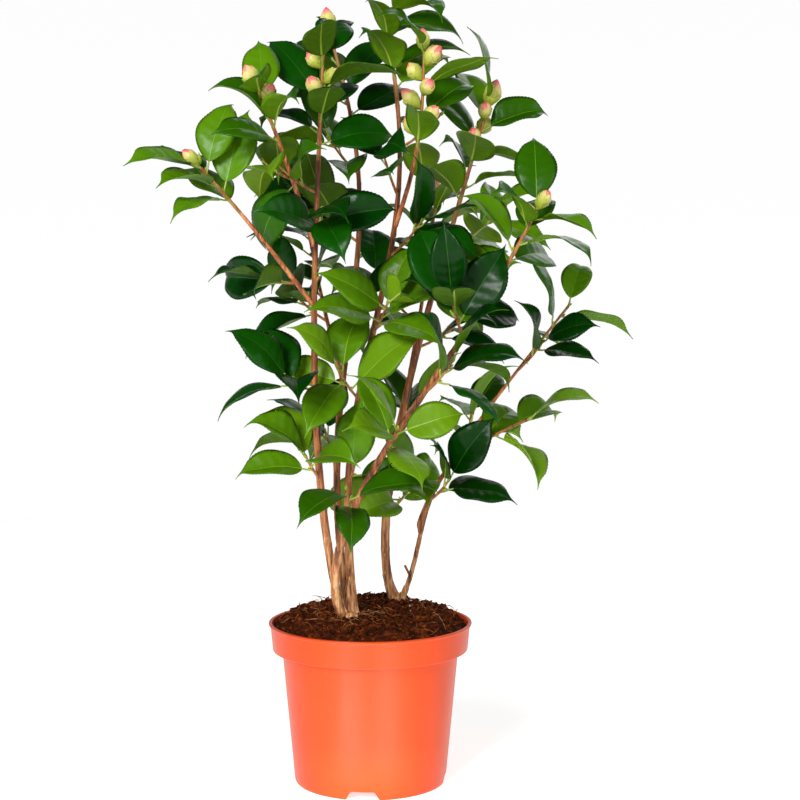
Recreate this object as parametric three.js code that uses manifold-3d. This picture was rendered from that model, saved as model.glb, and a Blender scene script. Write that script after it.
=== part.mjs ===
// A camellia shrub with buds about to open, in a round nursery pot.
// Millimetres, +Z up. The origin is the middle of the pot's flat underside, and -Y is the front.
// Six stems rise from two stools. Each stem or bough is one tapering limb, and each spray of
// leaves is one solid that meets its limb with a small gap.
import * as THREE from "three";
import { mergeVertices } from "three/addons/utils/BufferGeometryUtils.js";
import Module from "manifold-3d";

const wasm = await Module();
wasm.setup();

// The clearance between two solids that meet.
const SEAT = 0.3;

// The pot: a moulded tub with a deep turned-down band, and four notches in its foot ring.
const POT = {
  height: 151,
  lipRadius: 95.5,
  bandTopRadius: 93.8,
  bandFootRadius: 91.8,
  bandDepth: 26,
  lipDepth: 3,
  bodyTopRadius: 83,
  footRadius: 71.5,
  footRound: 3,
  wall: 2,
  floorHeight: 9.5,
  sides: 48,
};
// The notches run on inward as channels under the floor, so daylight shows through them.
const NOTCH = { count: 4, firstAngle: -94.8, topWidth: 22, footWidth: 31, height: 8.3, reach: 34 };

// The soil: heaped level around the stems, and falling to just under the lip.
const SOIL = { level: 161, levelRadius: 62, edgeHeight: 146, sides: 48 };

// Each limb runs from its foot to its tip. bow is how far its middle leaves the straight line,
// bowAt where along the limb that is, and sway a sideways S. girth is the diameter at foot and tip.
// ends is where the bare limb stops and its leading spray takes over. Each side spray is
// [place along the limb, compass angle, rise, twig length, leaves], with 0 degrees to the right
// and 270 to the front.
const LIMBS = [
  {
    name: "stem_outer_left",
    foot: [-24, -22, SOIL.level],
    tip: [-41, -40, 672],
    bow: [-19, 0, 0],
    bowAt: 0.38,
    girth: [8.4, 3.4],
    ends: 0.82,
    leader: 9,
    buds: 4,
    sprays: [
      [0.25, 235, 40, 18, 4],
      [0.41, 200, 10, 20, 4],
      [0.68, 285, 35, 26, 5],
      [0.76, 195, 25, 34, 5],
    ],
  },
  {
    name: "stem_back_left",
    foot: [-21, -10, SOIL.level],
    tip: [-38, 44, 702],
    bow: [14, 6, 0],
    bowAt: 0.7,
    sway: [-9, 0, 0],
    girth: [8, 3.2],
    ends: 0.84,
    leader: 9,
    buds: 2,
    sprays: [
      [0.26, 110, 25, 34, 5],
      [0.52, 60, 25, 44, 6],
      [0.64, 150, 30, 44, 6],
      [0.76, 215, 35, 34, 5],
    ],
  },
  {
    name: "stem_leaning_right",
    foot: [-19, -30, SOIL.level],
    tip: [149, -72, 532],
    bow: [-36, -6, 0],
    bowAt: 0.31,
    sway: [-6, 0, 0],
    girth: [8.8, 3],
    ends: 0.86,
    leader: 7,
    buds: 2,
    sprays: [
      [0.27, 260, 35, 24, 4],
      [0.42, 290, 25, 30, 5],
      [0.56, 320, 35, 30, 5],
      [0.7, 250, 40, 36, 5],
    ],
  },
  {
    name: "stem_tallest",
    foot: [-15, -17, SOIL.level],
    tip: [14, 18, 716],
    bow: [7, 4, 0],
    bowAt: 0.5,
    sway: [-16, 0, 0],
    girth: [8.4, 3.2],
    ends: 0.86,
    leader: 8,
    buds: 0,
    sprays: [
      [0.22, 285, 30, 26, 5],
      [0.36, 240, 30, 36, 5],
      [0.47, 290, 25, 40, 6],
      [0.6, 320, 30, 38, 6],
      [0.7, 250, 35, 44, 6],
      [0.78, 10, 30, 40, 6],
    ],
  },
  {
    name: "stem_right",
    foot: [27, 50, SOIL.level],
    tip: [111, 44, 634],
    bow: [-30, 0, 0],
    bowAt: 0.31,
    girth: [9.4, 3.6],
    ends: 0.76,
    leader: 10,
    buds: 5,
    sprays: [
      [0.18, 310, 30, 28, 5],
      [0.34, 60, 25, 40, 6],
      [0.52, 20, 20, 40, 6],
      [0.62, 290, 30, 44, 6],
      [0.71, 345, 25, 44, 5],
    ],
  },
  {
    name: "stem_low_right",
    foot: [28, 46, SOIL.level],
    tip: [146, -14, 342],
    bow: [-33, 10, 12],
    bowAt: 0.62,
    girth: [5.2, 2.6],
    ends: 0.8,
    leader: 4,
    buds: 0,
    sprays: [[0.5, 320, 35, 18, 4]],
  },
  {
    name: "bough_far_right",
    on: "stem_low_right",
    at: 0.33,
    tip: [194, 92, 446],
    bow: [-12, 0, 0],
    bowAt: 0.35,
    girth: [4, 2.4],
    ends: 0.84,
    leader: 4,
    buds: 0,
    sprays: [
      [0.4, 80, 30, 30, 5],
      [0.7, 0, 45, 18, 3],
    ],
  },
  {
    name: "bough_far_left",
    on: "stem_outer_left",
    at: 0.56,
    tip: [-148, -72, 570],
    bow: [0, 0, 3],
    bowAt: 0.5,
    girth: [4.4, 2.6],
    ends: 0.64,
    leader: 7,
    buds: 1,
    sprays: [[0.12, 200, 0, 14, 3]],
  },
  {
    name: "bough_upper_left",
    on: "stem_outer_left",
    at: 0.66,
    tip: [-96, -80, 636],
    bow: [0, 0, 6],
    bowAt: 0.5,
    girth: [4.6, 2.8],
    ends: 0.56,
    leader: 9,
    buds: 2,
    sprays: [[0.36, 200, 20, 22, 4]],
  },
  {
    name: "bough_of_buds",
    on: "stem_tallest",
    at: 0.64,
    tip: [50, -18, 678],
    bow: [6, 0, -6],
    bowAt: 0.5,
    girth: [4.4, 3],
    ends: 0.36,
    leader: 7,
    buds: 7,
    sprays: [],
  },
  {
    name: "bough_back",
    on: "stem_back_left",
    at: 0.4,
    tip: [-66, 128, 530],
    bow: [0, 10, -10],
    bowAt: 0.5,
    girth: [4.8, 2.6],
    ends: 0.6,
    leader: 8,
    buds: 1,
    sprays: [[0.4, 200, 30, 34, 5]],
  },
  {
    name: "bough_back_right",
    on: "stem_right",
    at: 0.42,
    tip: [64, 150, 548],
    bow: [0, 10, -10],
    bowAt: 0.5,
    girth: [4.8, 2.6],
    ends: 0.6,
    leader: 8,
    buds: 1,
    sprays: [[0.4, 150, 30, 34, 5]],
  },
];

// The clumps: which stems share a stool, how high it reaches and how stout its middle is.
const STOOLS = [
  {
    name: "stool_left",
    stems: ["stem_outer_left", "stem_back_left", "stem_leaning_right", "stem_tallest"],
    height: 40,
    heart: { at: [-19.5, -20], foot: 10, top: 6, height: 36 },
    flare: 2.6,
  },
  {
    name: "stool_right",
    stems: ["stem_right", "stem_low_right"],
    height: 15,
    heart: { at: [29, 48], foot: 6.5, top: 5, height: 9 },
    flare: 2.2,
  },
];
const FLARE_HEIGHT = 9;

// The leaf: its blade and stalk, and the spread of its sizes and bends.
const LEAF = {
  shortest: 62,
  longest: 84,
  narrowest: 0.54,
  widest: 0.64,
  shortestStalk: 7,
  longestStalk: 11,
  stalkRadius: 0.9,
  rootRadius: 0.3,
  thickness: 1.25,
  splay: 60,
  lastSplay: 26,
  leastBend: 25,
  mostBend: 80,
  twist: 22,
  roll: 36,
  lowestRise: -0.3,
  steps: 20,
};
const DIVERGENCE = 137.5;
// The plant leans its leaves to the light, which falls from above and in front.
const LIGHT = new THREE.Vector3(0.05, -0.6, 0.75).normalize();
const UP = new THREE.Vector3(0, 0, 1);
const LIGHT_PULL = 0.62;

// Room kept free round a leaf, a limb and a bud, and the turns tried before a leaf is skipped.
const LEAF_ROOM = 8.6;
const WOOD_ROOM = 4.6;
const TWIG_ROOM = 3.6;
const BUD_ROOM = 3;
// Each try is a turn round the twig and a change of splay, in degrees.
const TRIES = [
  [0, 0],
  [30, 6],
  [-30, -8],
  [60, -14],
  [-60, 10],
  [95, -20],
  [-95, 0],
  [140, -24],
  [-140, 10],
  [15, 22],
  [-15, -30],
  [180, -12],
  [20, 45],
  [-160, 58],
];
// No leaf rises over this height.
const CROWN_TOP = 734;
const SAMPLES = { along: 10, across: 7, from: 0.16, to: 0.97, woodStep: 5, limbParts: 5 };

// The seed of the growth, and the size under which details are smoothed away after fusing.
const SEED = 2095;
const FINEST = 0.05;

const TWIG = { footRadius: 1.9, tipRadius: 1.5, curl: 0.22, sides: 3 };
const BUD = { length: 20, radius: 7.4, spread: 44, spacing: 12.5, sides: 5 };

const COLOUR = {
  pot: 0xf2703f,
  soil: 0x5a3320,
  oldBark: 0xb98055,
  youngBark: 0x8a4f2c,
  leaf: 0x1d5a14,
};

const radians = (degrees) => (degrees * Math.PI) / 180;
const mix = (a, b, share) => a + (b - a) * share;

// A repeatable stream of numbers from 0 to 1.
function stream(seed) {
  let state = seed >>> 0;
  return () => {
    state = (Math.imul(state, 1664525) + 1013904223) >>> 0;
    return state / 2 ** 32;
  };
}

// A closed skin over rings of points. A ring of one point is a tip. Each four-cornered face is
// split along the diagonal that bulges outwards, so a thin twisted blade doesn't cut through itself.
function skin(rings) {
  const points = rings.flat();
  const isOver = (d, a, b, c) => {
    const facing = points[b].clone().sub(points[a]).cross(points[c].clone().sub(points[a]));
    return facing.dot(points[d].clone().sub(points[a])) > 0;
  };
  const faces = [];
  const starts = [];
  let count = 0;
  for (const ring of rings) {
    starts.push(count);
    count += ring.length;
  }
  const cap = (start, size, flip) => {
    for (let i = 1; i + 1 < size; i++)
      faces.push(flip ? [start, start + i + 1, start + i] : [start, start + i, start + i + 1]);
  };
  cap(0, rings[0].length, true);
  for (let k = 0; k + 1 < rings.length; k++) {
    const [low, high] = [rings[k].length, rings[k + 1].length];
    const size = Math.max(low, high);
    for (let i = 0; i < size; i++) {
      const j = (i + 1) % size;
      const [a, b] = low === 1 ? [starts[k], starts[k]] : [starts[k] + i, starts[k] + j];
      const [c, d] =
        high === 1 ? [starts[k + 1], starts[k + 1]] : [starts[k + 1] + i, starts[k + 1] + j];
      if (low > 1 && high > 1 && isOver(c, a, b, d)) {
        faces.push([a, b, c], [b, d, c]);
        continue;
      }
      if (low > 1) faces.push([a, b, d]);
      if (high > 1) faces.push([a, d, c]);
    }
  }
  cap(starts[rings.length - 1], rings[rings.length - 1].length, false);
  const geometry = new THREE.BufferGeometry();
  const places = new Float32Array(points.flatMap((p) => [p.x, p.y, p.z]));
  geometry.setAttribute("position", new THREE.BufferAttribute(places, 3));
  geometry.setIndex(faces.flat());
  return geometry;
}

function solidOf(geometry) {
  const bare = geometry.clone();
  bare.deleteAttribute("normal");
  bare.deleteAttribute("uv");
  const merged = mergeVertices(bare, 1e-3);
  return new wasm.Manifold(
    new wasm.Mesh({
      numProp: 3,
      vertProperties: merged.attributes.position.array,
      triVerts: new Uint32Array(merged.index.array),
    }),
  );
}

function geometryOf(solid) {
  const mesh = solid.getMesh();
  const geometry = new THREE.BufferGeometry();
  geometry.setAttribute("position", new THREE.BufferAttribute(mesh.vertProperties, 3));
  geometry.setIndex(new THREE.BufferAttribute(mesh.triVerts, 1));
  geometry.computeVertexNormals();
  return geometry;
}

// Two unit vectors square to a direction and to each other.
function across(direction) {
  const helper = Math.abs(direction.x) < 0.8 ? new THREE.Vector3(1, 0, 0) : new THREE.Vector3(0, 1, 0);
  const first = helper.addScaledVector(direction, -helper.dot(direction)).normalize();
  return [first, direction.clone().cross(first)];
}

function ring(centre, direction, radius, sides) {
  const [first, second] = across(direction);
  return Array.from({ length: sides }, (_, i) => {
    const turn = (2 * Math.PI * i) / sides;
    return centre
      .clone()
      .addScaledVector(first, radius * Math.cos(turn))
      .addScaledVector(second, radius * Math.sin(turn));
  });
}

// A limb's centre line, its direction and its radius, by the share s of its length. Below its foot
// the line runs on straight.
function limbPoint(limb, s) {
  if (s < 0) return limbPoint(limb, 0).addScaledVector(limbDirection(limb, 0), s * limb.length);
  const hump = Math.sin(Math.PI * s ** (Math.log(0.5) / Math.log(limb.bowAt)));
  return limb.start
    .clone()
    .lerp(limb.end, s)
    .addScaledVector(limb.bowVector, hump)
    .addScaledVector(limb.swayVector, Math.sin(2 * Math.PI * s));
}

function limbDirection(limb, s) {
  const reach = 0.01;
  const low = Math.max(0, s - reach);
  const high = Math.min(1, s + reach);
  return limbPoint(limb, high).sub(limbPoint(limb, low)).normalize();
}

const limbRadius = (limb, s) => mix(limb.girth[0], limb.girth[1], s) / 2;
const limbSides = (limb) => (limb.on ? 6 : 7);

// How far from a limb's centre line a side limb comes clear of the bark.
function standOff(limb, s, direction, radius) {
  const along = direction.dot(limbDirection(limb, s));
  const outward = Math.sqrt(1 - along * along);
  return (limbRadius(limb, s) + SEAT + radius * Math.abs(along)) / outward;
}

function bearing(angle, rise) {
  const [a, r] = [radians(angle), radians(rise)];
  return new THREE.Vector3(Math.cos(a) * Math.cos(r), Math.sin(a) * Math.cos(r), Math.sin(r));
}

// How far back from there its root reaches before it is cut to fit the bark.
const rootReach = (limb, s, away, radius) => standOff(limb, s, away, radius) - limbRadius(limb, s) * 0.3;

// Sets each limb out: a stem starts in the soil, and a bough on the bark of the limb that bears it.
function setOut() {
  const byName = new Map();
  for (const limb of LIMBS) {
    limb.bowVector = new THREE.Vector3(...limb.bow);
    limb.swayVector = new THREE.Vector3(...(limb.sway ?? [0, 0, 0]));
    limb.end = new THREE.Vector3(...limb.tip);
    const bearer = byName.get(limb.on);
    limb.start = bearer ? limbPoint(bearer, limb.at) : new THREE.Vector3(...limb.foot);
    if (bearer) {
      const away = limbDirection(limb, 0);
      const radius = limb.girth[0] / 2;
      limb.start.addScaledVector(away, standOff(bearer, limb.at, away, radius));
      limb.rootReach = rootReach(bearer, limb.at, away, radius);
    }
    limb.bearer = bearer;
    limb.length = limb.start.distanceTo(limb.end);
    byName.set(limb.name, limb);
  }
  return byName;
}

// One limb from share s0 to s1, swelled by a given amount, with rings closer together where it
// has a root flare.
function limbSolid(limb, s0, s1, { flare = 0, swell = 0 } = {}) {
  const steps = Math.max(3, Math.round((limb.length * (s1 - s0)) / (flare ? 8 : 28)));
  const rings = [];
  for (let i = 0; i <= steps; i++) {
    const s = mix(s0, s1, i / steps);
    const centre = limbPoint(limb, s);
    const spread = flare * Math.exp(-Math.max(0, centre.z - SOIL.level) / FLARE_HEIGHT);
    const radius = limbRadius(limb, s) + spread + swell;
    rings.push(ring(centre, limbDirection(limb, Math.max(0, s)), radius, limbSides(limb)));
  }
  return solidOf(skin(rings));
}

// The bare length of a limb, from inside the limb that bears it to where its leading spray begins.
function bareLimb(limb, swell = 0) {
  return limbSolid(limb, limb.bearer ? -limb.rootReach / limb.length : 0, limb.ends, { swell });
}

// Cuts the root of a bough or a twig to fit the bark of the limb that bears it.
const cutToBark = (solid, bearer) => outerSkin(solid.subtract(bareLimb(bearer, SEAT)));

// Everything under or over a level, as a block to cut with.
function block(from, to) {
  const size = 800;
  const box = new THREE.BoxGeometry(size, size, to - from);
  box.translate(0, 0, (from + to) / 2);
  return solidOf(box);
}

// The sprays, in the order in which they grow: every limb's leading spray, then the side sprays.
function listSprays(limbs) {
  const leaders = [];
  const sides = [];
  for (const limb of limbs.values()) {
    const short = limb.name.replace(/^(stem|bough)_/, "");
    const first = limb.ends + SEAT / limb.length;
    leaders.push({
      name: `spray_${short}_tip`,
      path: (q) => limbPoint(limb, mix(first, 1, q)),
      radius: (q) => mix(limbRadius(limb, limb.ends), TWIG.tipRadius, q),
      steps: 3,
      sides: 5,
      leaves: limb.leader,
      buds: limb.buds,
      firstLeaf: 0.14,
    });
    limb.sprays.forEach(([at, angle, rise, twig, leaves], i) => {
      const out = bearing(angle, rise);
      const start = limbPoint(limb, at).addScaledVector(
        out,
        standOff(limb, at, out, TWIG.footRadius),
      );
      sides.push({
        name: `spray_${short}_${i + 1}`,
        bearer: limb,
        rootShare: rootReach(limb, at, out, TWIG.footRadius) / twig,
        path: (q) =>
          start
            .clone()
            .addScaledVector(out, twig * q)
            .addScaledVector(UP, twig * TWIG.curl * q * q),
        radius: (q) => mix(TWIG.footRadius, TWIG.tipRadius, q),
        steps: 2,
        sides: TWIG.sides,
        leaves,
        buds: 0,
        firstLeaf: 0.34,
      });
    });
  }
  return [...leaders, ...sides];
}

function sprayDirection(spray, q) {
  const reach = 0.05;
  const low = Math.max(0, q - reach);
  const high = Math.min(1, q + reach);
  return spray.path(high).sub(spray.path(low)).normalize();
}

// Half the blade's width, as a share of half its widest, by the share u of its length.
const bladeShape = (u) => Math.sin(Math.PI * u ** 0.8) ** 0.85 * (1 - 0.5 * u ** 5);

// The blade's middle line and its side vector at share u. It bends away from its upper face more
// and more, and twists a little.
function bladeFrame(leaf, u) {
  const point = leaf.base.clone();
  const stride = (u * leaf.length) / LEAF.steps;
  for (let i = 0; i < LEAF.steps; i++) {
    const bend = leaf.bend * (((i + 0.5) / LEAF.steps) * u) ** 1.5;
    point.addScaledVector(leaf.axis, stride * Math.cos(bend));
    point.addScaledVector(leaf.normal, -stride * Math.sin(bend));
  }
  const bend = leaf.bend * u ** 1.5;
  const side = leaf.axis.clone().cross(leaf.normal);
  const upper = leaf.normal
    .clone()
    .multiplyScalar(Math.cos(bend))
    .addScaledVector(leaf.axis, Math.sin(bend));
  const turn = leaf.twist * u;
  const turned = side.clone().multiplyScalar(Math.cos(turn)).addScaledVector(upper, Math.sin(turn));
  const over = upper.multiplyScalar(Math.cos(turn)).addScaledVector(side, -Math.sin(turn));
  return { point, side: turned, upper: over, half: (leaf.width / 2) * bladeShape(u) };
}

// The points at which a leaf's room is measured.
function bladeSamples(leaf) {
  const samples = [];
  for (let i = 0; i < SAMPLES.along; i++) {
    const frame = bladeFrame(leaf, mix(SAMPLES.from, SAMPLES.to, i / (SAMPLES.along - 1)));
    for (let j = 0; j < SAMPLES.across; j++) {
      const v = (2 * j) / (SAMPLES.across - 1) - 1;
      samples.push(frame.point.clone().addScaledVector(frame.side, v * frame.half));
    }
  }
  return samples;
}

// A thing that holds its room: points, each with the room round it, inside one sphere.
function claim(points, rooms) {
  const centre = points.reduce((sum, p) => sum.add(p), new THREE.Vector3()).divideScalar(points.length);
  const reach = Math.max(...points.map((p, i) => p.distanceTo(centre) + rooms[i]));
  return { points, rooms, centre, reach };
}

// Places one leaf on a spray. Every leaf draws the same count of numbers, whether it finds room
// or not.
function placeLeaf(spray, index, draw, taken) {
  const q = spray.leaves > 1 ? mix(spray.firstLeaf, 1, index / (spray.leaves - 1)) : 1;
  const along = sprayDirection(spray, q);
  const [first, second] = across(along);
  const start = spray.path(q);
  const jitter = draw() - 0.5;
  const middle = index === spray.leaves - 1 ? LEAF.lastSplay : LEAF.splay - 14 * q;
  const splay = radians(middle + 26 * (draw() - 0.5));
  const length = mix(LEAF.shortest, LEAF.longest, draw()) * (1 - 0.12 * q);
  const width = length * mix(LEAF.narrowest, LEAF.widest, draw());
  const bend = radians(mix(LEAF.leastBend, LEAF.mostBend, draw()));
  const twist = radians(LEAF.twist * 2 * (draw() - 0.5));
  const roll = radians(LEAF.roll * 2 * (draw() - 0.5));
  const stalk = mix(LEAF.shortestStalk, LEAF.longestStalk, draw());
  for (const [turn, change] of TRIES) {
    const around = radians(spray.turn + DIVERGENCE * index + 30 * jitter + turn);
    const lean = splay + radians(change);
    const axis = along.clone().multiplyScalar(Math.cos(lean));
    axis.addScaledVector(first, Math.cos(around) * Math.sin(lean));
    axis.addScaledVector(second, Math.sin(around) * Math.sin(lean));
    axis.z = Math.max(axis.z, LEAF.lowestRise);
    axis.normalize();
    const normal = along
      .clone()
      .multiplyScalar(1 - LIGHT_PULL)
      .addScaledVector(LIGHT, LIGHT_PULL);
    normal.addScaledVector(axis, -normal.dot(axis)).normalize();
    normal.applyAxisAngle(axis, roll);
    const base = start.clone().addScaledVector(axis, spray.radius(q) + stalk);
    const leaf = { root: start, base, axis, normal, length, width, bend, twist };
    const samples = bladeSamples(leaf);
    const own = claim(samples, samples.map(() => LEAF_ROOM));
    const low = samples.every((p) => p.z < CROWN_TOP);
    if (low && taken.every((other) => isClear(own, other))) {
      taken.push(own);
      return leaf;
    }
  }
  return null;
}

function isClear(leafClaim, other) {
  if (leafClaim.centre.distanceTo(other.centre) > leafClaim.reach + other.reach) return true;
  for (const p of leafClaim.points)
    for (let i = 0; i < other.points.length; i++)
      if (p.distanceToSquared(other.points[i]) < other.rooms[i] ** 2) return false;
  return true;
}

// The solid of one leaf: a three-sided stalk whose root is sunk in the twig, and a thin blade.
function leafSolid(leaf) {
  const side = leaf.axis.clone().cross(leaf.normal);
  const stalkRing = (centre, radius) => [
    centre.clone().addScaledVector(side, radius),
    centre.clone().addScaledVector(side, -radius),
    centre.clone().addScaledVector(leaf.normal, radius * 1.6),
  ];
  const bladeRing = (u) => {
    const frame = bladeFrame(leaf, u);
    return [
      frame.point.clone().addScaledVector(frame.side, frame.half),
      frame.point.clone().addScaledVector(frame.side, -frame.half),
      frame.point.clone().addScaledVector(frame.upper, LEAF.thickness),
    ];
  };
  const rings = [
    stalkRing(leaf.root, LEAF.rootRadius),
    stalkRing(leaf.base, LEAF.stalkRadius),
    bladeRing(0.3),
    bladeRing(0.72),
    [bladeFrame(leaf, 1).point],
  ];
  return solidOf(skin(rings));
}

// The buds crowd round the end of a leading twig, each on a short neck.
function placeBuds(spray, draw) {
  const buds = [];
  for (let i = 0; i < spray.buds; i++) {
    const q = Math.max(0, 1 - (BUD.spacing * i) / spray.length);
    const along = sprayDirection(spray, q);
    const [first, second] = across(along);
    const around = radians(spray.turn + 180 * i + 60 * (draw() - 0.5));
    const lean = radians(i === 0 ? 8 : BUD.spread + 12 * (draw() - 0.5));
    const size = mix(0.78, 1.08, draw());
    const axis = along.clone().multiplyScalar(Math.cos(lean));
    axis.addScaledVector(first, Math.cos(around) * Math.sin(lean));
    axis.addScaledVector(second, Math.sin(around) * Math.sin(lean));
    buds.push({ root: spray.path(q), axis, length: BUD.length * size, radius: BUD.radius * size });
  }
  return buds;
}

function budSolid(bud) {
  const at = (share, radius) =>
    ring(bud.root.clone().addScaledVector(bud.axis, share * bud.length), bud.axis, radius, BUD.sides);
  return solidOf(
    skin([
      at(-0.03, 1.2),
      at(0.14, 1.5),
      at(0.42, bud.radius * 0.95),
      at(0.84, bud.radius * 0.85),
      [bud.root.clone().addScaledVector(bud.axis, 1.17 * bud.length)],
    ]),
  );
}

// The room of a limb or a twig, measured every few millimetres along it.
function woodClaim(length, path, radius, room) {
  const steps = Math.max(2, Math.ceil(length / SAMPLES.woodStep));
  const shares = Array.from({ length: steps + 1 }, (_, i) => i / steps);
  return claim(shares.map(path), shares.map((share) => radius(share) + room));
}

// Grows every spray: twigs and buds first, so that each leaf can keep clear of all of them.
function growSprays(limbs) {
  const taken = [];
  for (const limb of limbs.values()) {
    for (let part = 0; part < SAMPLES.limbParts; part++) {
      const share = (q) => (limb.ends * (part + q)) / SAMPLES.limbParts;
      taken.push(
        woodClaim(
          (limb.length * limb.ends) / SAMPLES.limbParts,
          (q) => limbPoint(limb, share(q)),
          (q) => limbRadius(limb, share(q)),
          WOOD_ROOM,
        ),
      );
    }
  }
  const sprays = listSprays(limbs);
  sprays.forEach((spray, i) => {
    spray.draw = stream(SEED + 97 * i);
    spray.turn = 360 * spray.draw();
    spray.length = spray.path(0).distanceTo(spray.path(1));
    spray.budList = placeBuds(spray, spray.draw);
    taken.push(woodClaim(spray.length, spray.path, spray.radius, TWIG_ROOM));
    for (const bud of spray.budList) {
      const at = (share) => bud.root.clone().addScaledVector(bud.axis, share * bud.length);
      taken.push(claim([at(0.4), at(0.85)], [bud.radius + BUD_ROOM, bud.radius + BUD_ROOM]));
    }
  });
  for (const spray of sprays) {
    spray.leafList = [];
    for (let i = 0; i < spray.leaves; i++) {
      const leaf = placeLeaf(spray, i, spray.draw, taken);
      if (leaf) spray.leafList.push(leaf);
    }
  }
  return sprays;
}

// Keeps the one outer skin of a solid, so that a hollow sealed by fusing is filled.
function outerSkin(solid) {
  const shells = solid.decompose();
  const outer = shells.reduce((best, shell) => (shell.volume() > best.volume() ? shell : best));
  return outer.asOriginal().simplify(FINEST);
}

function spraySolid(spray) {
  const shares = Array.from({ length: spray.steps + 1 }, (_, i) => i / spray.steps);
  if (spray.bearer) shares[0] = -spray.rootShare;
  const rings = shares.map((q) =>
    ring(spray.path(q), sprayDirection(spray, Math.max(0, q)), spray.radius(q), spray.sides),
  );
  let solid = solidOf(skin(rings));
  for (const leaf of spray.leafList) solid = solid.add(leafSolid(leaf));
  for (const bud of spray.budList) solid = solid.add(budSolid(bud));
  return spray.bearer ? cutToBark(solid, spray.bearer) : outerSkin(solid);
}

function stoolSolid(stool, limbs) {
  const level = SOIL.level + stool.height;
  const [x, y] = stool.heart.at;
  const heart = [
    [-4, stool.heart.foot],
    [stool.heart.height * 0.7, stool.heart.top],
    [stool.heart.height, stool.heart.top * 0.4],
  ].map(([z, radius]) => ring(new THREE.Vector3(x, y, SOIL.level + z), UP, radius, 8));
  let solid = solidOf(skin(heart));
  for (const name of stool.stems) {
    const limb = limbs.get(name);
    const top = (stool.height * 1.35) / limb.length;
    solid = solid.add(limbSolid(limb, -4 / limb.length, top, { flare: stool.flare }));
  }
  return solid
    .subtract(block(SOIL.level - 60, SOIL.level + SEAT))
    .subtract(block(level, level + 100));
}

function stemSolid(limb, stool) {
  const top = SOIL.level + stool.height + SEAT;
  return bareLimb(limb).subtract(block(SOIL.level - 60, top));
}

// The inside of the pot from its lip to its floor, as [radius, height].
function potInside() {
  const p = POT;
  const bandFoot = p.height - p.bandDepth;
  return [
    [p.lipRadius - 3.2, p.height],
    [p.bandFootRadius - 3.2, bandFoot + 4],
    [p.bodyTopRadius - p.wall, bandFoot],
    [p.footRadius - p.wall, p.floorHeight + 2],
    [p.footRadius - p.wall - 2, p.floorHeight],
  ];
}

function turned(profile, sides) {
  const tub = new THREE.LatheGeometry(
    profile.map(([radius, height]) => new THREE.Vector2(radius, height)),
    sides,
  );
  tub.rotateX(Math.PI / 2);
  return solidOf(tub);
}

function notchCutter(turn) {
  const half = { top: NOTCH.topWidth / 2, foot: NOTCH.footWidth / 2 };
  const shape = new THREE.Shape([
    new THREE.Vector2(-half.foot - 1, -2),
    new THREE.Vector2(half.foot + 1, -2),
    new THREE.Vector2(half.top, NOTCH.height),
    new THREE.Vector2(-half.top, NOTCH.height),
  ]);
  const cutter = new THREE.ExtrudeGeometry(shape, { depth: NOTCH.reach * 2, bevelEnabled: false });
  cutter.translate(0, 0, -NOTCH.reach);
  cutter.rotateX(Math.PI / 2);
  cutter.rotateZ(Math.PI / 2);
  cutter.translate(POT.footRadius, 0, 0);
  cutter.rotateZ(radians(turn));
  return solidOf(cutter);
}

function potSolid() {
  const p = POT;
  const bandFoot = p.height - p.bandDepth;
  const outside = [
    [0, 0],
    [p.footRadius - p.footRound * 0.6, 0],
    [p.footRadius, p.footRound],
    [p.bodyTopRadius, bandFoot],
    [p.bandFootRadius, bandFoot + 0.6],
    [p.bandTopRadius, p.height - p.lipDepth],
    [p.lipRadius, p.height - p.lipDepth * 0.6],
    [p.lipRadius - 0.4, p.height],
  ];
  let solid = turned([...outside, ...potInside(), [0, p.floorHeight]], p.sides);
  for (let i = 0; i < NOTCH.count; i++)
    solid = solid.subtract(notchCutter(NOTCH.firstAngle + (360 / NOTCH.count) * i));
  return solid;
}

function soilSolid() {
  const [lip, bandFoot, bodyTop, wallFoot, floor] = potInside();
  const fill = (SOIL.edgeHeight - bandFoot[1]) / (lip[1] - bandFoot[1]);
  const edge = mix(bandFoot[0], lip[0], fill) - SEAT * 2;
  return turned(
    [
      [0, floor[1] + SEAT],
      [floor[0] - SEAT * 2, floor[1] + SEAT],
      [wallFoot[0] - SEAT * 2, wallFoot[1] + SEAT],
      [bodyTop[0] - SEAT * 2, bodyTop[1] + SEAT],
      [bandFoot[0] - SEAT * 2, bandFoot[1] + SEAT * 2],
      [edge, SOIL.edgeHeight],
      [mix(SOIL.levelRadius, edge, 0.55), mix(SOIL.edgeHeight, SOIL.level, 0.62)],
      [SOIL.levelRadius, SOIL.level],
      [0, SOIL.level],
    ],
    SOIL.sides,
  );
}

const finish = (color, roughness) => new THREE.MeshStandardMaterial({ color, roughness, metalness: 0 });

const camellia = new THREE.Group();
function put(name, solid, material) {
  const mesh = new THREE.Mesh(geometryOf(solid), material);
  mesh.name = name;
  camellia.add(mesh);
}

const limbs = setOut();
const sprays = growSprays(limbs);
put("pot", potSolid(), finish(COLOUR.pot, 0.45));
put("soil", soilSolid(), finish(COLOUR.soil, 0.95));
for (const stool of STOOLS) {
  put(stool.name, stoolSolid(stool, limbs), finish(COLOUR.oldBark, 0.85));
  for (const name of stool.stems)
    put(name, stemSolid(limbs.get(name), stool), finish(COLOUR.oldBark, 0.85));
}
for (const limb of limbs.values())
  if (limb.bearer)
    put(limb.name, cutToBark(bareLimb(limb), limb.bearer), finish(COLOUR.youngBark, 0.8));
for (const spray of sprays) put(spray.name, spraySolid(spray), finish(COLOUR.leaf, 0.35));

export default camellia;
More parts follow.
